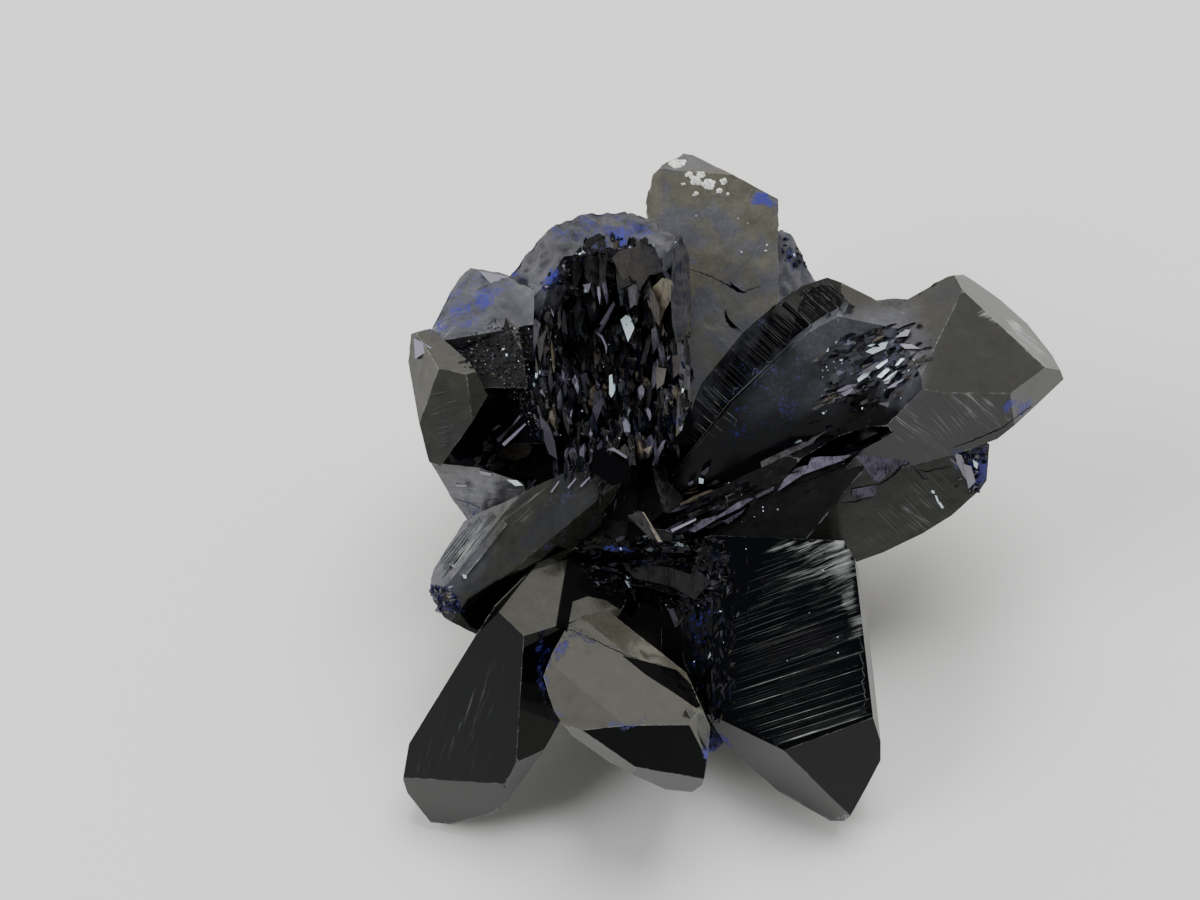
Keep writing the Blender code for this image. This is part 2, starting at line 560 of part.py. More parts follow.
def root_mass():
    """The stout crystals of the root, broken off flat where they left the rock."""
    for index, (azimuth, climb, length, radius, corners, skew) in enumerate((
            (0, 36, 13.0, 2.9, 6, 10), (28, 47, 15.0, 3.2, 6, 40), (58, 30, 11.5, 2.4, 6, 25),
            (82, 52, 16.5, 3.4, 6, 5), (112, 34, 13.0, 2.7, 6, 50), (140, 50, 15.5, 3.3, 6, 20),
            (168, 33, 12.0, 2.8, 6, 35), (196, 46, 14.0, 3.0, 6, 15), (224, 30, 11.0, 2.5, 6, 30),
            (250, 42, 11.5, 2.9, 6, 0), (276, 30, 10.5, 2.6, 6, 45), (304, 44, 12.0, 3.0, 6, 10),
            (332, 33, 12.0, 2.6, 6, 25), (95, 78, 15.0, 5.6, 6, 30), (300, 68, 13.0, 4.6, 6, 15))):
        root_prism(f"root_crystal_{index}", azimuth, climb, length, radius, corners, skew)
    crystal(
        "heart", (0.0, 3.0, -8.0),
        [face(0.0, 0.0, -4.8, 0.0, -0.02)],
        [(-7.0, -8.0), (-12.0, 2.0), (-8.0, 13.0), (1.5, 15.5), (9.5, 8.0), (12.0, 0.0),
         (8.0, -8.0), (1.0, -11.0), (-7.0, -8.0)],
        [30, 30, 34, 34, 30, 30, 28, 30],
        keel(0.0, 3.0, -13.0, 80.0, (0.25, 0.20), 0.0),
    )


# ---------------------------------------------------------------- joining

def join(name):
    """Everything that grew together as one solid, cut off flat at the resting face."""
    solids = list(GROWN.objects)
    base = solids[0]
    base.name = name
    GROWN.objects.unlink(base)
    bpy.context.scene.collection.objects.link(base)
    floor = bmesh.new()
    bmesh.ops.create_cube(floor, size=0.2, matrix=Matrix.Translation((0.0, 0.0, -0.1)))
    mesh = bpy.data.meshes.new("below_the_break")
    floor.to_mesh(mesh)
    floor.free()
    CUT.objects.link(bpy.data.objects.new("below_the_break", mesh))
    union = base.modifiers.new("grow", "BOOLEAN")
    union.operation = "UNION"
    union.solver = "EXACT"
    union.operand_type = "COLLECTION"
    union.collection = GROWN
    subtract(base, CUT)
    for spare in list(GROWN.objects) + list(CUT.objects) + list(HOLLOWS.objects):
        spare.hide_render = True
        spare.display_type = "WIRE"
    return base


def fill_pockets(solid):
    """Keep the outer skin only, so that no gap stays sealed in between the crystals."""
    solid = bpy.data.objects[solid.name]
    shape = bpy.data.meshes.new_from_object(solid.evaluated_get(bpy.context.evaluated_depsgraph_get()))
    skin = bmesh.new()
    skin.from_mesh(shape)
    skin.verts.ensure_lookup_table()
    pending, shells = set(skin.verts), []
    while pending:
        shell, edge_of_search = set(), [pending.pop()]
        while edge_of_search:
            vertex = edge_of_search.pop()
            shell.add(vertex)
            for edge in vertex.link_edges:
                neighbour = edge.other_vert(vertex)
                if neighbour in pending:
                    pending.remove(neighbour)
                    edge_of_search.append(neighbour)
        shells.append(shell)
    shells.sort(key=len)
    spare = [vertex for shell in shells[:-1] for vertex in shell]
    bmesh.ops.delete(skin, geom=spare, context="VERTS")
    skin.to_mesh(shape)
    skin.free()
    solid.modifiers.clear()
    solid.data = shape


def azurite():
    """Near-black blue with a glassy finish."""
    made = bpy.data.materials.new("azurite")
    made.use_nodes = True
    shader = made.node_tree.nodes["Principled BSDF"]
    shader.inputs["Base Color"].default_value = (0.006, 0.009, 0.030, 1.0)
    shader.inputs["Roughness"].default_value = 0.12
    shader.inputs["IOR"].default_value = 1.76
    return made


def main():
    for thing in list(bpy.data.objects):
        bpy.data.objects.remove(thing, do_unlink=True)
    for collection in (GROWN, CUT, HOLLOWS):
        bpy.context.scene.collection.children.link(collection)
    lower_left_blade()
    lower_middle_crystal()
    lower_right_crystal()
    upper_right_crystal()
    back_plates()
    left_blocks()
    left_ridge()
    arch()
    right_wall()
    middle_crystals()
    blade_hollow()
    growth_steps()
    rng = random.Random(SEED)
    hollow_crystals(rng)
    crest_crystals()
    left_recess_crystals(rng)
    shoulder_crystals(rng)
    middle_druse(rng)
    root_mass()
    cluster = join("azurite_cluster")
    fill_pockets(cluster)
    cluster.data.materials.append(azurite())


main()
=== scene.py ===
"""Azurite specimen: a rosette of glassy, near-black crystals round a hollow lined with small crystals.

Places on it are given in millimetres on the fan of crystals, as (across, up). The fan leans back from upright
by FAN_PITCH, and a place is struck along the line that runs to the EYE.
"""
import math
import random

import bmesh
import bpy
import numpy as np
from mathutils import Matrix, Vector, noise
from mathutils.bvhtree import BVHTree
from mathutils.geometry import delaunay_2d_cdt


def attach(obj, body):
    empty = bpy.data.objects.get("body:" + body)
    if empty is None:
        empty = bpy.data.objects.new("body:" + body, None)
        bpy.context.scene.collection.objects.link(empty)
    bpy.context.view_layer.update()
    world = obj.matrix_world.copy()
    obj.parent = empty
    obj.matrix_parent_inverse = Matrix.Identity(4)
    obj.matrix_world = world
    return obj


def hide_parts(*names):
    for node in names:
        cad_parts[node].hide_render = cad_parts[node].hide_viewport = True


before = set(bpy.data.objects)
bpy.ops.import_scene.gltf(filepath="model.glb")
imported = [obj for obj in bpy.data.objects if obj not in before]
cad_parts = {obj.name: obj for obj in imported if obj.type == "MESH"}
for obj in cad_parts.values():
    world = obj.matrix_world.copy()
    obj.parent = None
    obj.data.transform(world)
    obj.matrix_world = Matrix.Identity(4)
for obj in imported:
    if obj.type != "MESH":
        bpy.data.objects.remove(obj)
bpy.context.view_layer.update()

bl_info = {
    "name": "Azurite Rosette",
    "version": (1, 0, 0),
    "blender": (4, 5, 0),
    "location": "View3D > Sidebar > Azurite",
    "description": "Dresses a rosette of azurite crystals and sets it on a pale floor",
    "category": "Object",
}

MM = 0.001
NODE = "azurite_cluster"
FAN_PITCH = math.radians(60.0)
FAN_HEIGHT = 16.0
EYE_DISTANCE = 167.0
OUT = Vector((0.0, -math.cos(FAN_PITCH), math.sin(FAN_PITCH)))
UP = Vector((0.0, math.sin(FAN_PITCH), math.cos(FAN_PITCH)))
ACROSS = Vector((1.0, 0.0, 0.0))
MIDDLE = Vector((0.0, 0.0, FAN_HEIGHT * MM))
EYE = MIDDLE + OUT * EYE_DISTANCE * MM
REFRACTION = 1.76  # of azurite


# ---------------------------------------------------------------- places on the fan

def on_fan(across, up, out=0.0):
    """The point of the fan, in metres, at (across, up) and out in front of it, all in millimetres."""
    near = (EYE_DISTANCE - out) / EYE_DISTANCE
    return MIDDLE + (ACROSS * across * near + UP * up * near + OUT * out) * MM


def laid_out(points):
    """(across, up, out) in millimetres for an array of points."""
    rel = (points - np.array(MIDDLE)) / MM
    across, up, out = rel @ np.array(ACROSS), rel @ np.array(UP), rel @ np.array(OUT)
    near = (EYE_DISTANCE - out) / EYE_DISTANCE
    return across / near, up / near, out


def seen(tree, across, up):
    """Where the line from the eye through (across, up) meets the crystals: point, normal, face, or None."""
    point, normal, face, _ = tree.ray_cast(EYE, (on_fan(across, up) - EYE).normalized())
    return None if point is None else (point, normal, face)


def strike(tree, across, up):
    """The same, for a place that has to be on the crystals."""
    hit = seen(tree, across, up)
    if hit is None:
        raise RuntimeError(f"nothing at ({across}, {up})")
    return hit


def heading(turn):
    """The (across, up) direction at a turn in degrees, which runs from across towards up."""
    return np.array((math.cos(math.radians(turn)), math.sin(math.radians(turn))))


def fan_direction(turn):
    """The direction along the fan, in space, at a turn in degrees."""
    across, up = heading(turn)
    return (ACROSS * across + UP * up).normalized()


# ---------------------------------------------------------------- making meshes and objects

def kept(name, body):
    """The mesh of a bmesh, which is freed."""
    mesh = bpy.data.meshes.new(name)
    body.to_mesh(mesh)
    body.free()
    return mesh


def placed(name, data):
    """An object made of the data, in the scene."""
    made = bpy.data.objects.new(name, data)
    bpy.context.scene.collection.objects.link(made)
    return made


def piece(name, meshes):
    """One finished piece from several meshes, riding on the specimen."""
    body = bmesh.new()
    for mesh in meshes:
        body.from_mesh(mesh)
    joined = kept(name, body)
    for material in meshes[0].materials:
        joined.materials.append(material)
    made = placed(name, joined)
    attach(made, "root")


def add_values(mesh, name, domain, values, kind="FLOAT"):
    """Give a mesh an attribute."""
    field = "vector" if kind == "FLOAT_VECTOR" else "value"
    layer = mesh.attributes.new(name, kind, domain)
    layer.data.foreach_set(field, np.asarray(values, dtype=np.float32).ravel())


def rosette_tree():
    """The large crystals, to set the small ones on."""
    body = bmesh.new()
    body.from_mesh(bpy.data.objects["azurite_rosette"].data)
    tree = BVHTree.FromBMesh(body)
    body.free()
    return tree


# ---------------------------------------------------------------- shader maths

def math_node(operation, reflected=False):
    """A method that adds a Math node on a wire and another value, which comes first if reflected."""
    def add(self, other):
        return self.math(operation, *((other, self) if reflected else (self, other)))
    return add


class Wire:
    """A socket that can be used in Python expressions; each operation adds a Math node."""
    __add__, __radd__ = math_node("ADD"), math_node("ADD", reflected=True)
    __sub__, __rsub__ = math_node("SUBTRACT"), math_node("SUBTRACT", reflected=True)
    __mul__, __rmul__ = math_node("MULTIPLY"), math_node("MULTIPLY", reflected=True)
    most = math_node("MAXIMUM")

    def __init__(self, graph, socket):
        self.graph, self.socket = graph, socket

    def math(self, operation, *values, clamp=False):
        return self.graph.node(
            "ShaderNodeMath", {"operation": operation, "use_clamp": clamp}, dict(enumerate(values)))

    def clamped(self):
        return self.math("ADD", self, 0.0, clamp=True)

    def between(self, low, high):
        """0 at low, 1 at high, smooth in between."""
        return self.graph.node(
            "ShaderNodeMapRange", {"interpolation_type": "SMOOTHSTEP"},
            {"Value": self, "From Min": low, "From Max": high, "To Min": 0.0, "To Max": 1.0}, "Result")


class Graph:
    """A node tree and the one method that adds to it."""

    def __init__(self, tree):
        self.tree = tree

    def node(self, kind, settings=None, sockets=None, output=0):
        """A node with its settings, then its sockets; gives one of its outputs."""
        made = self.tree.nodes.new(kind)
        for key, value in (settings or {}).items():
            if key == "stops":
                ramp = made.color_ramp
                while len(ramp.elements) < len(value):
                    ramp.elements.new(0.5)
                for element, (place, colour) in zip(ramp.elements, value):
                    element.position, element.color = place, (*colour, 1.0)
            elif key == "blend":
                made.color_ramp.interpolation = value
            else:
                setattr(made, key, value)
        for key, value in (sockets or {}).items():
            if isinstance(value, Wire):
                self.tree.links.new(value.socket, made.inputs[key])
            else:
                made.inputs[key].default_value = value
        return Wire(self, made.outputs[output]) if len(made.outputs) else None

    def vector(self, operation, first, second, output=0):
        return self.node("ShaderNodeVectorMath", {"operation": operation}, {0: first, 1: second}, output)

    def scaled(self, vector, factor):
        return self.node("ShaderNodeVectorMath", {"operation": "SCALE"}, {0: vector, "Scale": factor})

    def dot(self, first, second):
        return self.vector("DOT_PRODUCT", first, second, "Value")


class Finish(Graph):
    """A material, and the nodes that make its finish."""

    def __init__(self, name, **constants):
        self.material = bpy.data.materials.new(name)
        self.material.use_nodes = True
        super().__init__(self.material.node_tree)
        self.shader = self.tree.nodes["Principled BSDF"]
        for socket, value in constants.items():
            self.shader.inputs[socket.replace("_", " ")].default_value = value

    def place(self):
        """Object coordinates in millimetres."""
        return self.scaled(self.node("ShaderNodeTexCoord", output="Object"), 1.0 / MM)

    def drawn_out(self, where, grain, share):
        """Coordinates pressed together along the grain, so that a pattern on them runs in streaks."""
        return self.vector("SUBTRACT", where, self.scaled(grain, self.dot(where, grain) * share))

    def attribute(self, name, output="Fac"):
        return self.node("ShaderNodeAttribute", {"attribute_name": name}, output=output)

    def noise(self, where, per_mm, detail, roughness):
        return self.node(
            "ShaderNodeTexNoise", {},
            {"Vector": where, "Scale": per_mm, "Detail": detail, "Roughness": roughness})

    def mix(self, factor, first, second):
        """Colour first where factor is 0 and second where it is 1."""
        return self.node("ShaderNodeMix", {"data_type": "RGBA"}, {0: factor, 6: first, 7: second}, 2)

    def bump(self, height, strength, depth, below=None):
        """A relief of a given depth in millimetres."""
        sockets = {"Height": height, "Strength": strength, "Distance": depth * MM}
        if below is not None:
            sockets["Normal"] = below
        return self.node("ShaderNodeBump", {}, sockets)

    def feed(self, **inputs):
        for socket, value in inputs.items():
            self.tree.links.new(value.socket, self.shader.inputs[socket.replace("_", " ")])
        return self.material


# ---------------------------------------------------------------- settings

def length_setting(name, description, default, least=0.0):
    """A length in metres that the panel shows."""
    return bpy.props.FloatProperty(
        name=name, description=description, default=default, min=least, unit="LENGTH")


def colour_setting(name, description, *default):
    """An opaque colour that the panel shows."""
    return bpy.props.FloatVectorProperty(
        name=name, description=description, subtype="COLOR", size=4, default=(*default, 1.0),
        min=0.0, max=1.0)


class RosetteSettings(bpy.types.PropertyGroup):
    """Sizes and colours of the large crystals."""
    spacing: length_setting(
        "Mesh spacing", "Longest edge left on the faces turned to the front", 0.00045, 0.0003)
    lumps: length_setting("Lumps", "Height of the lumps on the weathered faces", 0.00030)
    body_colour: colour_setting("Body colour", "Colour of the clean crystal faces", 0.0010, 0.0012, 0.0020)
    bloom_colour: colour_setting(
        "Bloom colour", "Powdery blue on bruised edges and in pits", 0.036, 0.036, 0.235)
    patina_colour: colour_setting(
        "Patina colour", "Thin olive-grey film on the dull faces", 0.105, 0.102, 0.080)
    worn_colour: colour_setting("Worn colour", "Violet-grey film on the weathered faces", 0.088, 0.090, 0.112)
    # painted highlight colour: the whitish sheen on the streaky faces, the glints on proud edges and the
    # light on the growth lines
    painted_highlight_colour: colour_setting("Painted highlight colour", "Whitish painted sheen and glints on the streaky faces", 0.27, 0.29, 0.28)


class DetailSettings(bpy.types.PropertyGroup):
    """Sizes and colours of the small crystals."""
    crowding: bpy.props.FloatProperty(
        name="Crowding", description="How many small crystals there are for the usual number",
        default=1.0, min=0.1, max=3.0, subtype="FACTOR")
    lamella_length: length_setting("Lamella length", "Length of the longest strewn lamella", 0.0024, 0.0005)
    line_girth: length_setting(
        "Growth line girth", "Width of a growth line given as one millimetre wide", 0.001)
    crust_colour: colour_setting("Crust colour", "Pale crust on the upper plate", 0.86, 0.88, 0.82)


class StageSettings(bpy.types.PropertyGroup):
    """The floor, the light and the camera."""
    floor_colour: colour_setting("Floor colour", "Colour of the plain floor", 0.80, 0.80, 0.80)
    lens: bpy.props.FloatProperty(
        name="Lens", description="Focal length of the camera in millimetres", default=70.14, min=10.0)
    room_light: bpy.props.FloatProperty(
        name="Room light", description="Strength of the light from the room", default=1.0, min=0.0)


# ---------------------------------------------------------------- the faces of the large crystals

# columns of the grain, the polish and the lumps in a facet's row, after its haze, film and streaks
GRAIN, POLISH, LUMPS = slice(3, 6), 6, 7

# name: (across, up) of each face; haze 0 glassy to 1 matte; film of patina; streaks and their turn in
# degrees; polish 0 bright, 1 soft, 2 dull; lumps 0 flat to 1 weathered
FACES = {
    "lower left blade, front": (((-12.1, -15.7),), 0.08, 0.01, 0.35, 69, 0, 0.0),
    "lower left blade, roof": (((-7.1, -7.1), (-6.8, -4.1)), 0.14, 0.29, 0.1, 69, 0, 0.05),
    "lower left blade, side": (((-7.5, -14.3),), 0.04, 0.0, 0.1, 69, 2, 0.0),
    "lower left blade, tip": (((-13.6, -22.1),), 0.16, 0.08, 0.2, -10, 1, 0.0),
    "middle crystal, roof": (((-0.7, -14.3), (-4.7, -14.7)), 0.14, 0.25, 0.05, 20, 0, 0.08),
    "middle crystal, upper roof": (((-2.9, -8.9),), 0.14, 0.5, 0.05, 20, 0, 0.08),
    "middle crystal, below": (((1.4, -17.5),), 0.05, 0.03, 0.2, 10, 0, 0.0),
    "middle crystal, bevel": (((-0.9, -18.9), (4.1, -16.1)), 0.16, 0.3, 0.3, -30, 0, 0.0),
    "right crystal, black face": ( ((10.7, -8.6), (10.9, -11.9), (11.1, -13.1), (11.9, -14.7), (11.5, -13.9),
        (12.8, -16.1), (12.4, -15.4)), 0.08, 0.0, 0.6, 20, 0, 0.0),
    "right crystal, end": (((13.6, -18.6),), 0.16, 0.03, 0.2, 20, 2, 0.0),
    "right crystal, left end": (((8.0, -17.2),), 0.2, 0.10, 0.2, 20, 1, 0.0),
    "right crystal, left side": (((3.9, -8.0),), 0.3, 0.0, 0.2, 80, 2, 0.25),
    "right crystal, bevel": (((16.25, -12.0),), 0.2, 0.5, 0.2, 85, 0, 0.0),
    "head, triangle": (((24.3, 10.0),), 0.12, 0.19, 0.05, 30, 0, 0.03),
    "head, bevels": (((26.4, 12.1), (27.0, 7.5)), 0.18, 0.08, 0.2, -30, 0, 0.03),
    "head, under": (((24.3, 6.1),), 0.18, 0.05, 0.5, -50, 1, 0.03),
    "head, neck": (((18.6, 6.6),), 0.20, 0.02, 0.3, -50, 1, 0.03),
    "head, back": (((16.4, 13.6), (19.8, 12.9)), 0.26, 0.22, 0.2, 20, 1, 0.10),
    "shoulder": (((10.0, 7.1),), 0.16, 0.0, 0.3, 28, 1, 0.0),
    "lower blade": (((18.6, -1.4),), 0.18, 0.08, 0.5, -46, 1, 0.03),
    "plates": (((5.7, 19.3), (4.8, 11.1), (3.2, 7.1)), 0.34, 0.80, 0.10, 80, 0, 0.12),
    "broken plate edge": (((10.7, 16.4),), 0.4, 0.7, 0.2, 60, 0, 0.9),
    "striated band": (((6.4, 9.3), (4.4, 7.1), (9.3, 12.3)), 0.12, 0.0, 0.4, -45, 2, 0.0),
    "striated band, end": (((14.3, 14.9),), 0.1, 0.0, 0.2, -45, 2, 0.1),
    "ridge": (((-8.6, -2.9),), 0.30, 0.26, 0.3, 40, 0, 0.12),
    "ridge end": (((-13.1, -3.9),), 0.25, 0.5, 0.8, 52, 0, 0.25),
    "left block": (((-13.2, 6.4),), 0.22, 0.25, 0.5, 5, 0, 0.05),
    "left block, triangle": (((-11.9, 6.0),), 0.16, 0.24, 0.1, 5, 0, 0.03),
    "left block, edge": (((-15.7, 9.2), (-14.3, 10.5)), 0.25, 0.28, 0.4, 5, 0, 0.08),
    "pocket": (((-10.6, 10.0), (-8.2, 9.5), (-9.0, 7.0), (-11.2, 9.6), (-10.9, 5.0)), 0.3, 0.03, 0.2, 40, 2,
        0.4),
    "hollow": ( ((-5.6, 3.6), (-0.6, 5.0), (1.9, 10.3), (-1.1, 11.0), (2.1, 3.1), (2.5, 5.7), (2.4, 11.6),
        (-2.1, 9.3), (1.7, 10.4), (-2.4, 6.6), (-0.7, 14.6), (-6.5, 9.2), (-4.3, 12.7), (-2.9, 12.9),
        (-2.1, 12.6), (1.2, 13.4), (1.6, 15.4), (0.4, 15.5), (-6.6, 12.5)), 0.2, 0.14, 0.3, 93, 1, 0.3),
    "left shoulder": (((-10.7, 13.6), (-12.4, 15.6)), 0.32, 0.60, 0.2, 50, 0, 0.5),
    "crest": (((-3.6, 19.3), (-7.9, 16.4), (-0.6, 19.6), (1.8, 18.2)), 0.36, 0.42, 0.1, 20, 0, 1.0),
    "middle, dark": (((-1.8, -4.8), (0.0, -2.6), (2.0, -5.4), (3.2, -3.6)), 0.2, 0.09, 0.2, 10, 2, 0.3),
    "right wall of the hollow": (((3.3, 16.7),), 0.3, 0.24, 0.5, 100, 1, 0.3),
    "left skirt": (((-11.8, 0.7),), 0.28, 0.24, 0.4, 10, 0, 0.3),
}

# kind: (across, up), half length, half width, turn in degrees, strength of each painted patch
MARKS = {
    "bloom": (
        (8.9, 21.5, 1.1, 0.45, -25, 1.2), (10.9, 17.3, 0.8, 0.5, -60, 0.9), (2.9, 5.6, 0.9, 0.5, 60, 0.6),
        (-1.4, 18.6, 1.3, 0.45, -35, 1.3), (0.1, 19.4, 0.9, 0.45, -20, 0.9), (-6.3, 15.9, 0.9, 0.6, 40, 1.2),
        (-8.6, 16.1, 0.8, 0.5, 20, 0.8), (-10.0, 15.0, 0.9, 0.5, 10, 0.8), (-3.2, 20.0, 0.8, 0.4, 0, 0.9),
        (-2.9, 19.4, 4.4, 1.5, 0, 0.72), (-11.2, 14.3, 1.4, 0.6, 35, 0.95), (-12.5, 12.5, 0.8, 0.5, 20, 0.9),
        (-14.5, 12.6, 0.6, 0.4, 40, 0.9), (-12.4, 14.3, 3.0, 2.0, 40, 0.62), (-12.1, -0.7, 1.6, 0.7, 0, 0.7),
        (-13.9, -7.5, 1.2, 0.9, 0, 0.9), (-5.7, 0.1, 1.4, 0.5, 30, 0.6), (-6.4, -3.2, 1.6, 0.5, 40, 0.6),
        (-1.4, -3.7, 1.5, 0.35, -5, 1.0), (2.9, -2.4, 0.6, 0.3, 0, 1.0), (1.6, -4.7, 0.7, 0.3, 0, 0.7),
        (4.3, -8.1, 0.8, 0.4, 60, 0.7), (5.4, -17.5, 0.9, 0.9, 0, 1.8), (26.6, 6.8, 0.6, 0.3, 40, 1.1),
        (27.5, 6.6, 0.8, 0.3, 40, 1.1), (23.9, 2.4, 1.4, 1.0, -60, 1.5), (4.4, -9.3, 4.6, 1.2, 80, 0.45),
        (8.9, 6.8, 5.0, 3.0, 40, 0.52), (16.4, 10.0, 3.6, 1.6, 25, 0.55), (-6.9, -12.0, 0.4, 2.6, 0, 0.8),
        (-6.0, -15.3, 1.6, 0.4, -60, 0.68), (-3.6, -9.9, 3.2, 0.3, -22, 0.6), (11.0, 19.6, 0.6, 0.6, 0, 0.8),
        (-1.6, -15.9, 2.0, 0.25, 4, 0.7), (-5.9, -10.5, 0.5, 1.6, -20, 0.7), (3.6, 17.0, 0.5, 0.3, 0, 0.6),
        (9.4, 13.8, 2.4, 0.3, 40, 0.5), (14.6, 3.6, 1.6, 0.6, 20, 0.5)),
    # pale marks are painted sheen and painted glints, where the striated faces and bevels would mirror the
    # light
    "pale": (
        (14.3, -3.9, 1.0, 1.7, 0, 0.85), (12.4, -3.2, 2.8, 0.45, 5, 0.6), (12.8, -4.9, 3.0, 1.8, 20, 0.28),
        (15.1, -7.6, 0.5, 2.8, 6, 0.55), (12.6, -10.0, 5.0, 4.0, 20, 0.14), (-14.7, 12.1, 1.3, 0.9, 0, 0.5),
        (-13.2, -4.0, 1.6, 3.2, -35, 0.55), (-11.8, 1.2, 3.0, 1.2, -5, 0.3), (27.6, 11.2, 1.8, 0.6, -50, 0.5),
        (23.2, 3.0, 0.8, 0.8, -60, 0.9), (20.6, -1.4, 3.0, 1.4, -40, 0.25),
        (-12.5, -16.5, 1.8, 4.5, -30, 0.12), (24.8, 13.0, 0.8, 0.35, -30, 0.55),
        (26.9, 12.3, 0.5, 0.35, -50, 0.9), (18.8, 5.8, 3.2, 1.2, -45, 0.25), (24.3, 6.4, 2.2, 0.8, -40, 0.45),
        (-10.0, -1.4, 4.0, 1.2, 42, 0.35)),
    "dull": (
        (15.9, 11.4, 3.4, 1.8, 20, 1.0), (13.4, 11.6, 2.4, 1.5, 35, 0.9), (14.2, 8.4, 3.0, 1.2, 25, 0.6),
        (10.5, 8.6, 3.0, 1.4, 45, 0.4), (18.6, 9.4, 1.6, 2.0, 0, 0.9), (-7.0, 15.2, 1.6, 1.3, 0, 1.0),
        (-11.8, 1.0, 2.6, 1.4, 0, 1.0), (-13.2, -4.0, 1.6, 3.2, -35, 1.0), (6.0, 12.6, 2.6, 1.8, 45, 0.5),
        (4.4, 8.8, 1.0, 2.6, 0, 0.6), (3.6, 10.2, 0.8, 2.2, 0, 0.7), (1.8, 18.0, 1.4, 0.9, -30, 0.8)),
}

SAME_FACE = 0.9999  # least cosine between the normals of two triangles of one crystal face
FRONT = -0.15  # a face is refined when its normal leans this much towards OUT
ROOT_HEIGHT = 4 * MM  # below this, only edges over ROOT_EDGE are split
ROOT_EDGE = 3 * MM
WEATHERED = 0.8  # lumps from which the edges between two faces are rounded off
PROUD = 0.25  # radians that an edge turns outwards, from which it gets a painted pale glint
RAGGED = 0.7  # millimetres that the outline of a mark wanders
MARK_SEED = 7  # of the noise vectors that it wanders by, which would otherwise come from the clock
BEHIND = 0.3 * MM  # a corner that lies this much behind what is seen carries no mark
SWELLS = ((0.7, 0.6), (0.6, 1.5), (0.45, 3.1))  # height and number per millimetre of the lumps


def merged(mesh):
    """A mesh of loose triangles with its corners joined."""
    body = bmesh.new()
    body.from_mesh(mesh)
    bmesh.ops.remove_doubles(body, verts=body.verts[:], dist=2e-6)
    bmesh.ops.dissolve_degenerate(body, dist=1e-6, edges=body.edges[:])
    bmesh.ops.triangulate(body, faces=body.faces[:])
    body.normal_update()
    return body


def number_facets(body):
    """Give every triangle of one flat crystal face the same number."""
    layer = body.faces.layers.int.new("facet")
    body.faces.ensure_lookup_table()
    number = 0
    for start in body.faces:
        if start[layer]:
            continue
        number += 1
        start[layer] = number
        pending = [start]
        while pending:
            for edge in pending.pop().edges:
                for other in edge.link_faces:
                    if not other[layer] and other.normal.dot(start.normal) > SAME_FACE:
                        other[layer] = number
                        pending.append(other)
    return number


def refined(body, spacing):
    """Split the edges turned to the front until none is longer than the spacing."""
    for _ in range(9):
        long_edges = [
            edge for edge in body.edges
            if edge.calc_length() > spacing
            and any(face.normal.dot(OUT) > FRONT for face in edge.link_faces)
            and (edge.verts[0].co.z > ROOT_HEIGHT or edge.calc_length() > ROOT_EDGE)]
        if not long_edges:
            break
        bmesh.ops.subdivide_edges(body, edges=long_edges, cuts=1)
        bmesh.ops.triangulate(body, faces=[face for face in body.faces if len(face.verts) > 3])


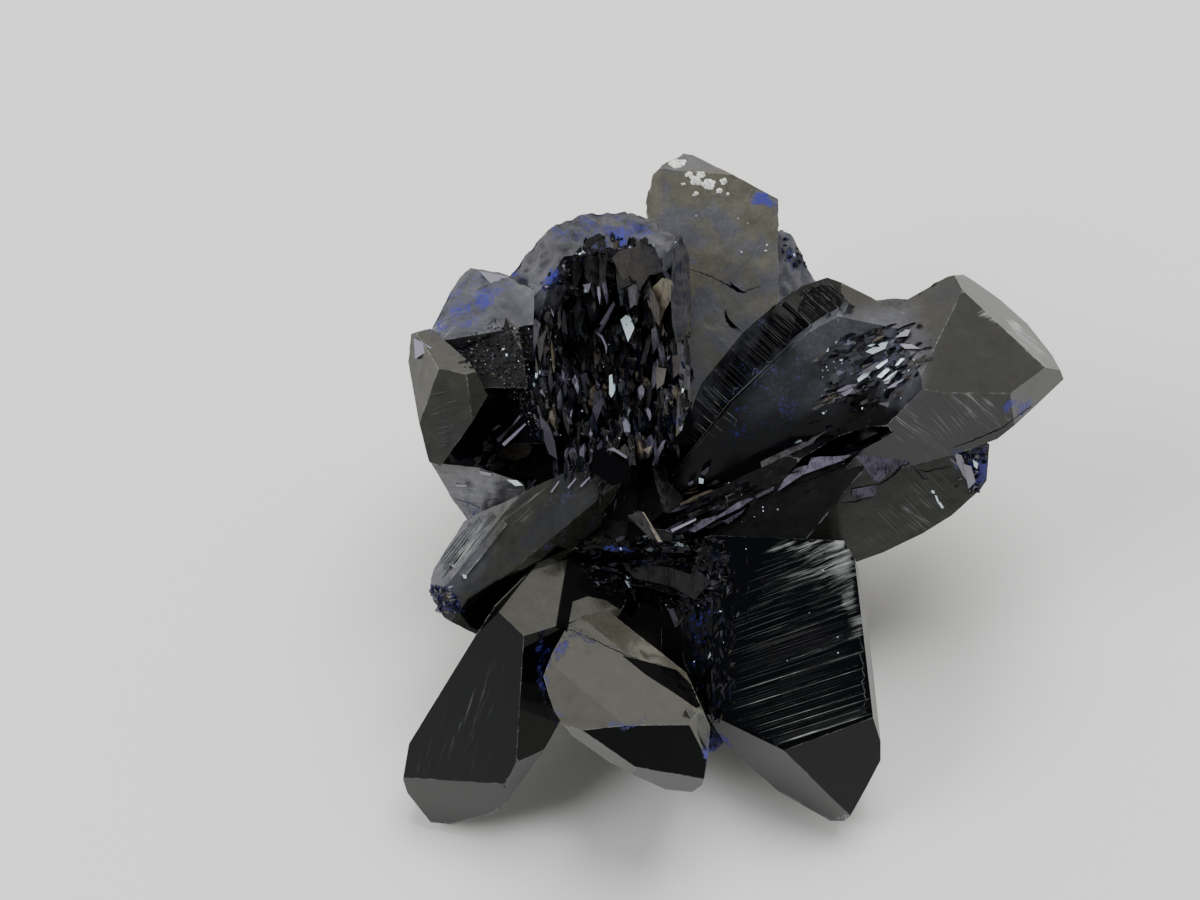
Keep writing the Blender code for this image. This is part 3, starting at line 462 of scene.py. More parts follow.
class AZURITE_OT_rosette(bpy.types.Operator):
    """Make the large crystals, each face with its own polish, film and streaks"""
    bl_idname = "azurite.rosette"
    bl_label = "Large crystals"

    def execute(self, context):
        settings = context.scene.azurite_rosette
        body = merged(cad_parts[NODE].data)
        count = number_facets(body)
        refined(body, settings.spacing)
        body.normal_update()
        tree = BVHTree.FromBMesh(body)
        layer = body.faces.layers.int["facet"]
        body.faces.ensure_lookup_table()
        numbers = np.array([face[layer] for face in body.faces])
        values = self.finishes(body, tree, numbers, count)
        painted = {kind: self.painted(body, tree, marks, kind == "pale") for kind, marks in MARKS.items()}
        # the corners on proud edges, which carry the painted glint
        painted["edge"] = self.crease(body, values, layer)
        self.weather(body, values[:, LUMPS], layer, settings.lumps)
        mesh = kept("azurite_rosette", body)
        for name, column in (("haze", 0), ("film", 1), ("streaks", 2), ("worn", LUMPS)):
            add_values(mesh, name, "FACE", values[numbers, column])
        add_values(mesh, "grain", "FACE", values[numbers, GRAIN], "FLOAT_VECTOR")
        for kind, strength in painted.items():
            add_values(mesh, kind, "POINT", strength)
        rosette = placed("azurite_rosette", mesh)
        for polish, level in (("bright", 0.5), ("soft", 0.27), ("dull", 0.11)):
            mesh.materials.append(crystal_finish(f"azurite_{polish}", level))
        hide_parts(NODE)
        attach(rosette, "root")
        return {"FINISHED"}

    def finishes(self, body, tree, numbers, count):
        """The finish of every facet: its own, or that of the nearest one named."""
        areas = np.array([face.calc_area() for face in body.faces])
        total = np.maximum(np.bincount(numbers, areas, count + 1), 1e-16)

        def averaged(vectors):
            sums = [np.bincount(numbers, areas * part, count + 1) for part in np.array(vectors).T]
            return np.stack(sums, 1) / total[:, None]

        across, up, _ = laid_out(averaged([face.calc_center_median() for face in body.faces]))
        facing = averaged([face.normal for face in body.faces])
        seeds = [(place, row[1:]) for row in FACES.values() for place in row[0]]
        spots = np.array([place for place, _ in seeds])
        chosen = np.argmin((across[:, None] - spots[:, 0]) ** 2 + (up[:, None] - spots[:, 1]) ** 2, axis=1)
        for index, (place, _) in enumerate(seeds):
            chosen[numbers[strike(tree, *place)[2]]] = index
        values = np.zeros((count + 1, LUMPS + 1))
        for facet in range(1, count + 1):
            haze, film, streaks, turn, polish, lumps = seeds[chosen[facet]][1]
            along = fan_direction(turn)
            normal = Vector(facing[facet]).normalized()
            grain = along - normal * along.dot(normal)
            if grain.length < 0.2:  # the face lies almost square to the grain
                grain = ACROSS - normal * ACROSS.dot(normal)
            values[facet] = (haze, film, streaks, *grain.normalized(), polish, lumps)
        return values

    def painted(self, body, tree, marks, contained):
        """How strongly each corner of the mesh that is seen from the front carries a mark.

        A contained mark stays on the facet that its middle lies on.
        """
        corners = np.array([vert.co for vert in body.verts])
        across, up, _ = laid_out(corners)
        noise.seed_set(MARK_SEED)
        ragged = np.array([noise.noise_vector(vert.co / MM * 0.9) for vert in body.verts])
        across, up = across + RAGGED * ragged[:, 0], up + RAGGED * ragged[:, 1]
        strength = np.zeros(len(corners))
        layer = body.faces.layers.int["facet"]
        own = [set(face[layer] for face in vert.link_faces) for vert in body.verts] if contained else None
        for left, high, half_length, half_width, turn, full in marks:
            way = heading(turn)
            x, y = across - left, up - high
            along = (x * way[0] + y * way[1]) / half_length
            aside = (y * way[0] - x * way[1]) / half_width
            mark = full * np.clip(1.6 - np.hypot(along, aside), 0.0, 1.0)
            if contained:
                facet = body.faces[strike(tree, left, high)[2]][layer]
                for index in np.flatnonzero(mark > 0.0):
                    if facet not in own[index]:
                        mark[index] = 0.0
            strength = np.maximum(strength, mark)
        for index in np.flatnonzero(strength > 0.0):
            corner = Vector(corners[index])
            hit = tree.ray_cast(EYE, (corner - EYE).normalized())[0]
            if hit is None or (hit - corner).length > BEHIND:
                strength[index] = 0.0
        return strength

    def crease(self, body, values, layer):
        """Give the faces their polish and sharp edges, and mark the corners on the edges that stand proud."""
        for edge in body.edges:
            pair = edge.link_faces
            worn = min(values[face[layer], LUMPS] for face in pair) > WEATHERED
            edge.smooth = len(pair) == 2 and (pair[0][layer] == pair[1][layer] or worn)
        for face in body.faces:
            face.smooth = True
            face.material_index = int(values[face[layer], POLISH])
        return [any(
            len(edge.link_faces) == 2 and not edge.smooth and edge.calc_face_angle_signed(0.0) > PROUD
            for edge in vert.link_edges) for vert in body.verts]

    def weather(self, body, lumps, layer, height):
        """Raise and sink the weathered faces in lumps and pits."""
        body.normal_update()
        moves = []
        for vert in body.verts:
            share = sum(lumps[face[layer]] for face in vert.link_faces) / max(len(vert.link_faces), 1)
            if share > 0.01:
                spot = vert.co / MM
                swell = sum(high * noise.noise(spot * per_mm) for high, per_mm in SWELLS)
                pit = max(noise.noise(spot * 0.9 + Vector((7.0, 3.0, 1.0))) - 0.30, 0.0) * 4.0
                moves.append((vert, vert.normal * height * share * (swell - pit - 0.15)))
        for vert, move in moves:
            vert.co += move


def crystal_finish(name, level):
    """Near-black azurite: glassy where clean, with a thin film, streaks along the grain and blue bloom."""
    settings = bpy.context.scene.azurite_rosette
    finish = Finish(name, IOR=REFRACTION, Specular_IOR_Level=level)
    where = finish.place()
    haze, film, streaks, worn = (finish.attribute(each) for each in ("haze", "film", "streaks", "worn"))
    bloom, pale, dull, edge = (finish.attribute(each) for each in ("bloom", "pale", "dull", "edge"))
    drawn = finish.drawn_out(where, finish.attribute("grain", "Vector"), 0.95)
    lines = finish.noise(drawn, 3.2, 3.0, 0.6)
    fine = finish.noise(drawn, 11.0, 2.0, 0.5)
    cloud = finish.noise(where, 0.7, 5.0, 0.62)
    specks = finish.noise(where, 3.6, 5.0, 0.68)
    patchy = (cloud - 0.5) * (0.9 + 0.5 * worn) + (specks - 0.5) * (0.9 + 0.4 * worn)
    violet = worn.between(0.15, 0.5).most(
        0.85 * haze.between(0.15, 0.30) * finish.noise(where, 0.32, 4.0, 0.6).between(0.44, 0.58))
    # painted sheen: whitish streaks along the grain that stand in for light mirrored by the striations
    painted_sheen = (pale * 4.0).clamped() * (
        (lines - 0.5) * 2.4 + (fine - 0.5) * 1.2 + (cloud - 0.5) * 0.6 + pale * 1.1).between(0.30, 1.35)
    # painted glint: a pale highlight painted along the edges that stand proud
    painted_glint = (edge.between(0.70, 1.0) * cloud.between(0.42, 0.62) * 0.55 * specks.between(0.3, 0.6)
             * (1 - worn.between(0.2, 0.8))).clamped()
    dusted = (bloom * 4.0).clamped() * (
        bloom * 1.1 + (specks - 0.5) * 2.4 + (cloud - 0.5) * 1.4 - 0.62).between(0.0, 0.8)
    patina = finish.mix(violet, settings.patina_colour, settings.worn_colour)
    shade = settings.body_colour
    for share, over in (
            ((film * (0.95 + patchy)).clamped(), patina),
            ((dull * (0.7 + patchy)).clamped(), settings.worn_colour),
            (painted_sheen, settings.painted_highlight_colour), (painted_glint, settings.painted_highlight_colour), (dusted, settings.bloom_colour)):
        shade = finish.mix(share, shade, over)
    rough = (haze * (0.75 + 0.5 * cloud) + streaks * 0.12 * lines.between(0.5, 0.75)
             + dusted * 0.4 + painted_sheen * 0.2 + painted_glint * 0.3).clamped()
    relief = finish.bump(lines * streaks * 0.7 + fine * streaks * 0.3, 0.8, 0.02)
    relief = finish.bump(cloud * film * 0.6 + specks * (film * 0.3 + dusted + worn), 0.9, 0.05, relief)
    return finish.feed(Base_Color=shade, Roughness=rough, Normal=relief)


# ---------------------------------------------------------------- small crystals, by Geometry Nodes

class Growth(Graph):
    """A Geometry Nodes tree with named inputs, built from Python."""

    def __init__(self, name, inputs):
        super().__init__(bpy.data.node_groups.new(name, "GeometryNodeTree"))
        face = self.tree.interface
        face.new_socket("Geometry", in_out="INPUT", socket_type="NodeSocketGeometry")
        for label, kind, default in (*inputs, ("Material", "Material", None)):
            socket = face.new_socket(label, in_out="INPUT", socket_type=f"NodeSocket{kind}")
            if default is not None:
                socket.default_value = default
        face.new_socket("Geometry", in_out="OUTPUT", socket_type="NodeSocketGeometry")
        given = self.node("NodeGroupInput").socket.node
        self.given = {socket.name: Wire(self, socket) for socket in given.outputs}

    def spread(self, kind, low, high, shift):
        """A random value for each crystal, from low to high."""
        first = {"FLOAT_VECTOR": 0, "FLOAT": 2}[kind]
        return self.node(
            "FunctionNodeRandomValue", {"data_type": kind},
            {first: low, first + 1: high, "Seed": self.given["Seed"] + shift}, first // 2)

    def finish(self, instances):
        """Make the crystals real and give them their material."""
        real = self.node("GeometryNodeRealizeInstances", {}, {"Geometry": instances})
        dressed = self.node(
            "GeometryNodeSetMaterial", {}, {"Geometry": real, "Material": self.given["Material"]})
        self.node("NodeGroupOutput", {}, {0: dressed})
        return self.tree


def scatter_tree():
    """Crystals strewn over a patch, laid one way but tilted and sized at random, each with its own tone."""
    growth = Growth("crystals strewn over a patch", (
        ("Crystal", "Object", None), ("Seed", "Int", 1), ("Lay", "Vector", (0.0, 0.0, 0.0)),
        ("Tilt", "Vector", (0.3, 0.3, 0.3)), ("Smallest", "Vector", (0.0003, 0.0003, 0.0003)),
        ("Largest", "Vector", (0.001, 0.001, 0.001)), ("Density", "Float", 1e6)))
    strewn = growth.node(
        "GeometryNodeDistributePointsOnFaces", {"distribute_method": "RANDOM"},
        {"Mesh": growth.given["Geometry"], "Density": growth.given["Density"], "Seed": growth.given["Seed"]})
    laid = growth.node("FunctionNodeEulerToRotation", {}, {"Euler": growth.given["Lay"]})
    tilt = growth.given["Tilt"]
    wobble = growth.spread("FLOAT_VECTOR", growth.scaled(tilt, -1.0), tilt, 11)
    wobble = growth.node("FunctionNodeEulerToRotation", {}, {"Euler": wobble})
    turned = growth.node(
        "FunctionNodeRotateRotation", {"rotation_space": "LOCAL"}, {"Rotation": laid, "Rotate By": wobble})
    crystal = growth.node(
        "GeometryNodeObjectInfo", {"transform_space": "ORIGINAL"},
        {"Object": growth.given["Crystal"], "As Instance": True}, "Geometry")
    size = growth.spread("FLOAT_VECTOR", growth.given["Smallest"], growth.given["Largest"], 23)
    crystals = growth.node(
        "GeometryNodeInstanceOnPoints", {},
        {"Points": strewn, "Instance": crystal, "Rotation": turned, "Scale": size})
    return growth.finish(growth.node(
        "GeometryNodeStoreNamedAttribute", {"data_type": "FLOAT", "domain": "INSTANCE"},
        {"Geometry": crystals, "Name": "tone", "Value": growth.spread("FLOAT", 0.0, 1.0, 37)}))


def line_tree():
    """Low ridges swept along chains of points, as thick as each point's own "girth" says."""
    growth = Growth("ridges along chains of points", [("Girth", "Float", MM)])
    chains = growth.node("GeometryNodeMeshToCurve", {}, {"Mesh": growth.given["Geometry"]})
    girth = growth.node("GeometryNodeInputNamedAttribute", {"data_type": "FLOAT"}, {"Name": "girth"})
    ring = growth.node(
        "GeometryNodeCurvePrimitiveCircle", {"mode": "RADIUS"},
        {"Resolution": 4, "Radius": growth.given["Girth"]})
    return growth.finish(growth.node(
        "GeometryNodeCurveToMesh", {},
        {"Curve": chains, "Profile Curve": ring, "Scale": girth, "Fill Caps": True}))


def grown(name, tree, base, values, finish):
    """Run a tree on a base mesh and keep the result as a plain mesh."""
    holder = placed(name + "_base", base)
    growth = holder.modifiers.new("growth", "NODES")
    growth.node_group = tree
    values = dict(values, Material=finish)
    for item in tree.interface.items_tree:
        if item.item_type == "SOCKET" and item.in_out == "INPUT" and item.name in values:
            growth[item.identifier] = values[item.name]
    holder.update_tag()
    graph = bpy.context.evaluated_depsgraph_get()
    mesh = bpy.data.meshes.new_from_object(holder.evaluated_get(graph), depsgraph=graph)
    holder.modifiers.clear()
    bpy.data.objects.remove(holder)
    return mesh


def prototype(name, corners, faces):
    """A small flat-faced shape of unit size that the trees repeat."""
    mesh = bpy.data.meshes.new(name)
    mesh.from_pydata(corners, [], faces)
    body = bmesh.new()
    body.from_mesh(mesh)
    bmesh.ops.recalc_face_normals(body, faces=body.faces[:])
    made = placed(name, kept(name, body))
    made.hide_render = True
    return made


def blade_shape():
    """A splintery blade: long in x with pointed ends, narrow in y, rooted deep in z."""
    outline = [(-0.5, 0.05), (-0.22, -0.42), (0.20, -0.5), (0.5, -0.08), (0.26, 0.46), (-0.16, 0.38)]
    heights = [0.00, 0.16, 0.22, 0.05, 0.20, 0.26]
    corners = [(x, y, high) for (x, y), high in zip(outline, heights)]
    corners += [(x * 0.9, y * 0.9, -1.0) for x, y in outline]
    count = len(outline)
    faces = [tuple(range(count)), tuple(reversed(range(count, 2 * count)))]
    faces += [(k, k + count, (k + 1) % count + count, (k + 1) % count) for k in range(count)]
    return prototype("blade_shape", corners, faces)


def chip_shape():
    """An angular chip."""
    corners = [(-0.5, -0.3, -0.3), (0.4, -0.5, -0.25), (0.5, 0.35, -0.3), (-0.3, 0.5, -0.2),
               (-0.25, -0.3, 0.35), (0.3, -0.2, 0.5), (0.15, 0.3, 0.3)]
    faces = [(0, 3, 2, 1), (0, 1, 5, 4), (1, 2, 5), (2, 6, 5), (2, 3, 6), (3, 4, 6), (3, 0, 4), (4, 5, 6)]
    return prototype("chip_shape", corners, faces)


def lay(turn):
    """Euler turn that lays x at a turn along the fan, with z out of it; None leaves x as it is."""
    if turn is None:
        return 0.0, 0.0, 0.0
    along = fan_direction(turn)
    across = OUT.cross(along).normalized()
    return Matrix((along, across, along.cross(across))).transposed().to_euler()


def inside(outline, across, up):
    """Whether an outline on the fan goes round a place."""
    crossings = 0
    for (x, y), (last_x, last_y) in zip(outline, outline[-1:] + outline[:-1]):
        if (y > up) != (last_y > up) and across < (last_x - x) * (up - y) / (last_y - y) + x:
            crossings += 1
    return crossings % 2 == 1


def patch(tree, outline, spacing):
    """The part of the crystals that is seen inside an outline on the fan, as a mesh of small squares."""
    low, high = np.min(outline, 0), np.max(outline, 0)
    side, rise = ACROSS * spacing * 0.5 * MM, UP * spacing * 0.5 * MM
    body = bmesh.new()
    for across in np.arange(low[0], high[0], spacing):
        for up in np.arange(low[1], high[1], spacing):
            hit = seen(tree, across, up) if inside(outline, across, up) else None
            if hit is not None:
                body.faces.new([body.verts.new(hit[0] + side * a + rise * b)
                                for a, b in ((-1, -1), (1, -1), (1, 1), (-1, 1))])
    return kept("patch", body)


# tone of a small crystal: mostly black, then grey, brown, cream, lilac, pale lilac and icy near-white, which
# is a painted glint
BLACK, GREY, BROWN, CREAM, LILAC, PALE, PAINTED_GLINT = 0.30, 0.70, 0.76, 0.81, 0.88, 0.95, 0.99
DUSK, DIM_GREY, DIM_LILAC = 0.60, 0.71, 0.90  # these and black have no gloss
GLOSSLESS = (BLACK, DUSK, DIM_GREY, DIM_LILAC)

# the tone from which each colour holds; the last, near-white, is painted glint
TINTS = (
    (0.0, (0.0014, 0.0015, 0.0018)), (0.55, (0.014, 0.014, 0.015)), (0.66, (0.040, 0.040, 0.042)),
    (0.73, (0.046, 0.037, 0.034)), (0.79, (0.13, 0.11, 0.078)), (0.83, (0.070, 0.065, 0.090)),
    (0.93, (0.20, 0.19, 0.25)), (0.98, (0.70, 0.84, 0.93)))


def small_crystal_finish(name, blue, dimmer=1.0, level=0.5):
    """Glassy small crystals, finely lined along the fan: each has its own tone, and some carry blue bloom."""
    settings = bpy.context.scene.azurite_rosette
    finish = Finish(name, IOR=REFRACTION, Specular_IOR_Level=level)
    where = finish.place()
    cloud = finish.noise(where, 1.3, 4.0, 0.6)
    fine = finish.noise(finish.drawn_out(where, UP, 0.92), 7.0, 3.0, 0.6)
    stops = [(place, [dimmer * part for part in tint]) for place, tint in TINTS]
    tone = finish.attribute("tone")
    tint = finish.node("ShaderNodeValToRGB", {"blend": "CONSTANT", "stops": stops}, {"Fac": tone}, "Color")
    shade = tone.between(0.30, 0.34) * (
        0.45 * cloud.between(0.38, 0.66) + 0.45 * fine.between(0.48, 0.66)).clamped()
    shaded = finish.mix(shade, tint, settings.body_colour)
    bare = finish.mix(tone.between(0.92, 0.94), shaded, tint)
    bloom = (blue * (0.5 * cloud + 0.5 * fine).between(0.48, 0.66)).clamped()
    return finish.feed(
        Base_Color=finish.mix(bloom, bare, settings.bloom_colour),
        Roughness=(0.06 + 0.16 * fine + bloom * 0.4).clamped(), Normal=finish.bump(fine, 0.5, 0.02))


def mm(*lengths):
    return Vector(lengths) * MM


def strew(name, crystal, finish, spacing, rows):
    """One piece of crystals strewn over patches of the rosette.

    A row holds the patch's outline, crystals per square millimetre, smallest, largest, tilt, turn of their
    length along the fan, seed.
    """
    crowding = bpy.context.scene.azurite_detail.crowding
    tree, growth = rosette_tree(), scatter_tree()
    piece(name, [grown(
        name, growth, patch(tree, outline, spacing),
        {"Crystal": crystal, "Seed": seed, "Lay": lay(turn), "Tilt": tilt,
         "Density": crowding * density / MM ** 2, "Smallest": mm(*smallest), "Largest": mm(*largest)}, finish)
        for outline, density, smallest, largest, tilt, turn, seed in rows])


class AZURITE_OT_hollow(bpy.types.Operator):
    """Crowd the deep hollow with upright lamellae"""
    bl_idname = "azurite.hollow"
    bl_label = "Lamellae in the hollow"

    def execute(self, context):
        longest = context.scene.azurite_detail.lamella_length / MM
        upright = 93
        upper = [(-7.7, 9.6), (-7.9, 12.6), (-6.6, 14.8), (-4.4, 15.4), (-1.5, 15.2), (0.8, 15.4),
                 (1.2, 13.0), (3.4, 12.4), (3.8, 9.6)]
        lower = [(-7.4, 2.6), (-7.9, 5.0), (-7.7, 9.6), (3.8, 9.6), (3.9, 8.0), (3.2, 5.6), (2.2, 3.0),
                 (-1.2, 3.0), (-4.5, 1.6)]
        blade = blade_shape()
        strew("hollow_lamellae", blade, small_crystal_finish("azurite_lamellae", 0.12), 0.4, (
            (lower, 2.6, (0.9, 0.25, 0.6), (longest, 0.60, 1.5), (0.30, 0.35, 0.16), upright, 3),
            (lower, 4.0, (0.35, 0.12, 0.3), (longest * 0.5, 0.34, 0.9), (0.5, 0.5, 0.25), upright, 8),
            (upper, 1.3, (1.0, 0.25, 0.6), (longest * 1.2, 0.60, 1.3), (0.25, 0.25, 0.16), upright, 5),
            (upper, 1.5, (0.3, 0.10, 0.3), (longest * 0.4, 0.26, 0.9), (0.5, 0.5, 0.35), upright, 9)))
        bpy.data.objects.remove(blade)
        return {"FINISHED"}


class AZURITE_OT_druse(bpy.types.Operator):
    """Strew glittering small crystals over the big blade, the middle and the recesses"""
    bl_idname = "azurite.druse"
    bl_label = "Druse"

    def execute(self, context):
        blade = blade_shape()
        glittering = small_crystal_finish("azurite_druse", 0.08)
        dark = small_crystal_finish("azurite_dark_druse", 0.08, 0.25, 0.27)
        strew("bright_druse", blade, glittering, 0.4, (
            # the big blade's broken patch
            ([(12.4, 9.6), (13.4, 11.6), (16.4, 12.2), (19.2, 12.4), (20.6, 12.0), (20.2, 9.6), (19.3, 7.6),
              (17.0, 6.9), (14.0, 6.2), (12.2, 6.6), (13.6, 8.2), (16.4, 8.8), (15.6, 9.8)],
             3.4, (0.4, 0.15, 0.2), (1.9, 0.5, 0.5), (0.5, 0.45, 0.2), 26, 4),
            # the foot of the big blade
            ([(1.6, -2.2), (3.0, 0.4), (5.8, 1.6), (9.0, 1.6), (8.6, 0.4), (5.6, -1.4), (3.0, -2.8)],
             2.6, (0.7, 0.12, 0.3), (2.8, 0.36, 0.7), (0.3, 0.35, 0.12), 24, 5),
            # the recess beside the left block
            ([(-10.9, 2.2), (-11.2, 4.8), (-8.6, 6.2), (-7.6, 3.6), (-9.0, 2.0)],
             2.0, (0.6, 0.15, 0.3), (2.4, 0.5, 0.8), (0.4, 0.4, 0.2), 42, 6),
            # the pocket
            ([(-13.2, 9.6), (-12.8, 11.4), (-11.0, 12.2), (-8.0, 12.4), (-7.4, 8.0), (-7.6, 4.6), (-8.4, 6.0),
              (-9.0, 7.6), (-10.8, 8.8)],
             26.0, (0.08, 0.08, 0.1), (0.24, 0.2, 0.25), (0.5, 0.5, 0.8), 60, 16)))
        strew("dark_druse", blade, dark, 0.4, (
            # below the hollow
            ([(-5.6, 1.4), (-2.0, 3.6), (0.2, 3.0), (-0.6, 0.6), (-2.2, -1.0)],
             1.4, (0.5, 0.12, 0.3), (1.8, 0.35, 0.7), (0.4, 0.3, 0.3), 62, 7),
            # the middle
            ([(-5.2, -2.6), (0.6, -2.4), (5.8, -2.6), (6.4, -6.0), (5.2, -7.6), (1.6, -7.6), (-3.4, -6.6)],
             8.0, (0.3, 0.15, 0.2), (1.2, 0.4, 0.5), (0.35, 0.35, 0.5), 5, 10),
            # beside the black face
            ([(2.6, -7.4), (6.0, -3.0), (7.0, -6.0), (6.6, -15.0), (5.2, -15.8), (4.0, -13.0)],
             5.0, (0.3, 0.12, 0.12), (1.2, 0.3, 0.25), (0.25, 0.25, 0.5), 80, 11),
            ([(6.2, -3.4), (8.6, -3.4), (9.0, -6.0), (8.0, -10.0), (6.6, -14.6)],
             2.2, (0.15, 0.08, 0.06), (0.8, 0.2, 0.12), (0.2, 0.2, 0.5), 80, 12),
            # under the big blade
            ([(8.0, 2.8), (12.4, 6.0), (15.8, 6.0), (18.6, 4.8), (15.4, 3.6), (11.6, 3.0)],
             0.8, (0.4, 0.1, 0.2), (1.8, 0.3, 0.4), (0.3, 0.3, 0.15), 24, 13),
            # the top of the hollow
            ([(-4.4, 18.4), (-1.6, 19.0), (1.2, 18.4), (2.2, 16.8), (1.0, 16.6), (-2.0, 17.4), (-4.6, 16.6)],
             3.0, (0.3, 0.15, 0.2), (1.2, 0.5, 0.5), (0.4, 0.4, 0.4), 92, 14)))
        bpy.data.objects.remove(blade)
        return {"FINISHED"}


class AZURITE_OT_crumbs(bpy.types.Operator):
    """Roughen the broken corners and pitted edges with blue-dusted chips, and add near-white chips as painted
    glints
    """
    bl_idname = "azurite.crumbs"
    bl_label = "Broken corners"

    def execute(self, context):
        chip = chip_shape()
        tumbled = (3.1, 3.1, 3.1)
        # outline, crystals per square millimetre, smallest, largest, seed
        corners = (
            ([(22.4, 3.6), (24.5, 3.6), (24.3, 0.8), (23.6, 0.2), (22.9, 1.4)], 14.0, 0.15, 0.55, 4),
            ([(-15.0, -6.3), (-13.2, -6.2), (-12.6, -8.0), (-13.9, -8.3), (-14.7, -7.3)], 12.0, 0.15, 0.6, 5),
            ([(10.0, 18.9), (11.0, 18.6), (12.0, 16.4), (10.9, 16.6), (10.1, 17.6)], 9.0, 0.12, 0.4, 6),
            ([(-7.2, 15.4), (-5.6, 17.0), (-3.8, 18.0), (-4.2, 16.8), (-5.4, 15.6), (-6.6, 14.8)],
             10.0, 0.12, 0.45, 7),
            ([(-2.2, 18.9), (0.6, 18.6), (1.2, 17.6), (-1.6, 18.1)], 10.0, 0.12, 0.45, 8),
            ([(5.0, -16.6), (5.9, -17.0), (5.4, -17.7), (5.0, -17.6)], 14.0, 0.15, 0.4, 9))
        strew("broken_chips", chip, small_crystal_finish("azurite_chips", 0.6), 0.25, [
            (outline, density, [smallest] * 3, [largest] * 3, tumbled, None, seed)
            for outline, density, smallest, largest, seed in corners])
        # outline, painted glint chips per square millimetre; the seeds count from 1
        glints = (
            ([(-7.4, 2.6), (-7.6, 12.0), (-5.4, 15.0), (0.6, 15.0), (3.4, 10.0), (2.2, 3.6), (-4.5, 1.6)],
             0.55),
            ([(0.8, -2.8), (2.6, 1.0), (9.0, 1.9), (10.0, -1.0), (6.0, -6.0), (5.6, -15.0), (2.0, -8.0),
              (-4.0, -5.0), (-5.0, -2.8)], 0.55),
            ([(12.4, 6.0), (13.0, 11.6), (20.0, 12.4), (19.6, 7.0)], 0.8),
            ([(-11.0, 2.0), (-11.6, 10.4), (-7.8, 11.0), (-7.6, 2.4)], 0.35),
            ([(7.0, -5.0), (7.0, -12.0), (15.0, -16.0), (12.0, -20.0), (16.0, -14.0), (14.0, -4.0)], 0.05),
            ([(2.0, 24.0), (2.4, 10.0), (7.0, 14.0), (10.0, 18.0), (7.0, 22.0)], 0.12))
        strew("sparkles", chip, self.sparkle(), 0.3, [
            (outline, density, (0.04, 0.04, 0.04), (0.22, 0.15, 0.12), tumbled, None, seed)
            for seed, (outline, density) in enumerate(glints, 1)])
        bpy.data.objects.remove(chip)
        return {"FINISHED"}

    def sparkle(self):
        """Pale glass, bluer here and there, its near-white colour a painted glint."""
        finish = Finish("azurite_sparkle", IOR=REFRACTION, Roughness=0.12)
        clear = finish.noise(finish.place(), 0.8, 2.0, 0.5)
        return finish.feed(Base_Color=finish.mix(clear, (0.35, 0.42, 0.75, 1.0), (0.95, 0.98, 1.0, 1.0)))


# a black plate that stands out less than this many millimetres follows the faces under it
HUGGING = 0.12

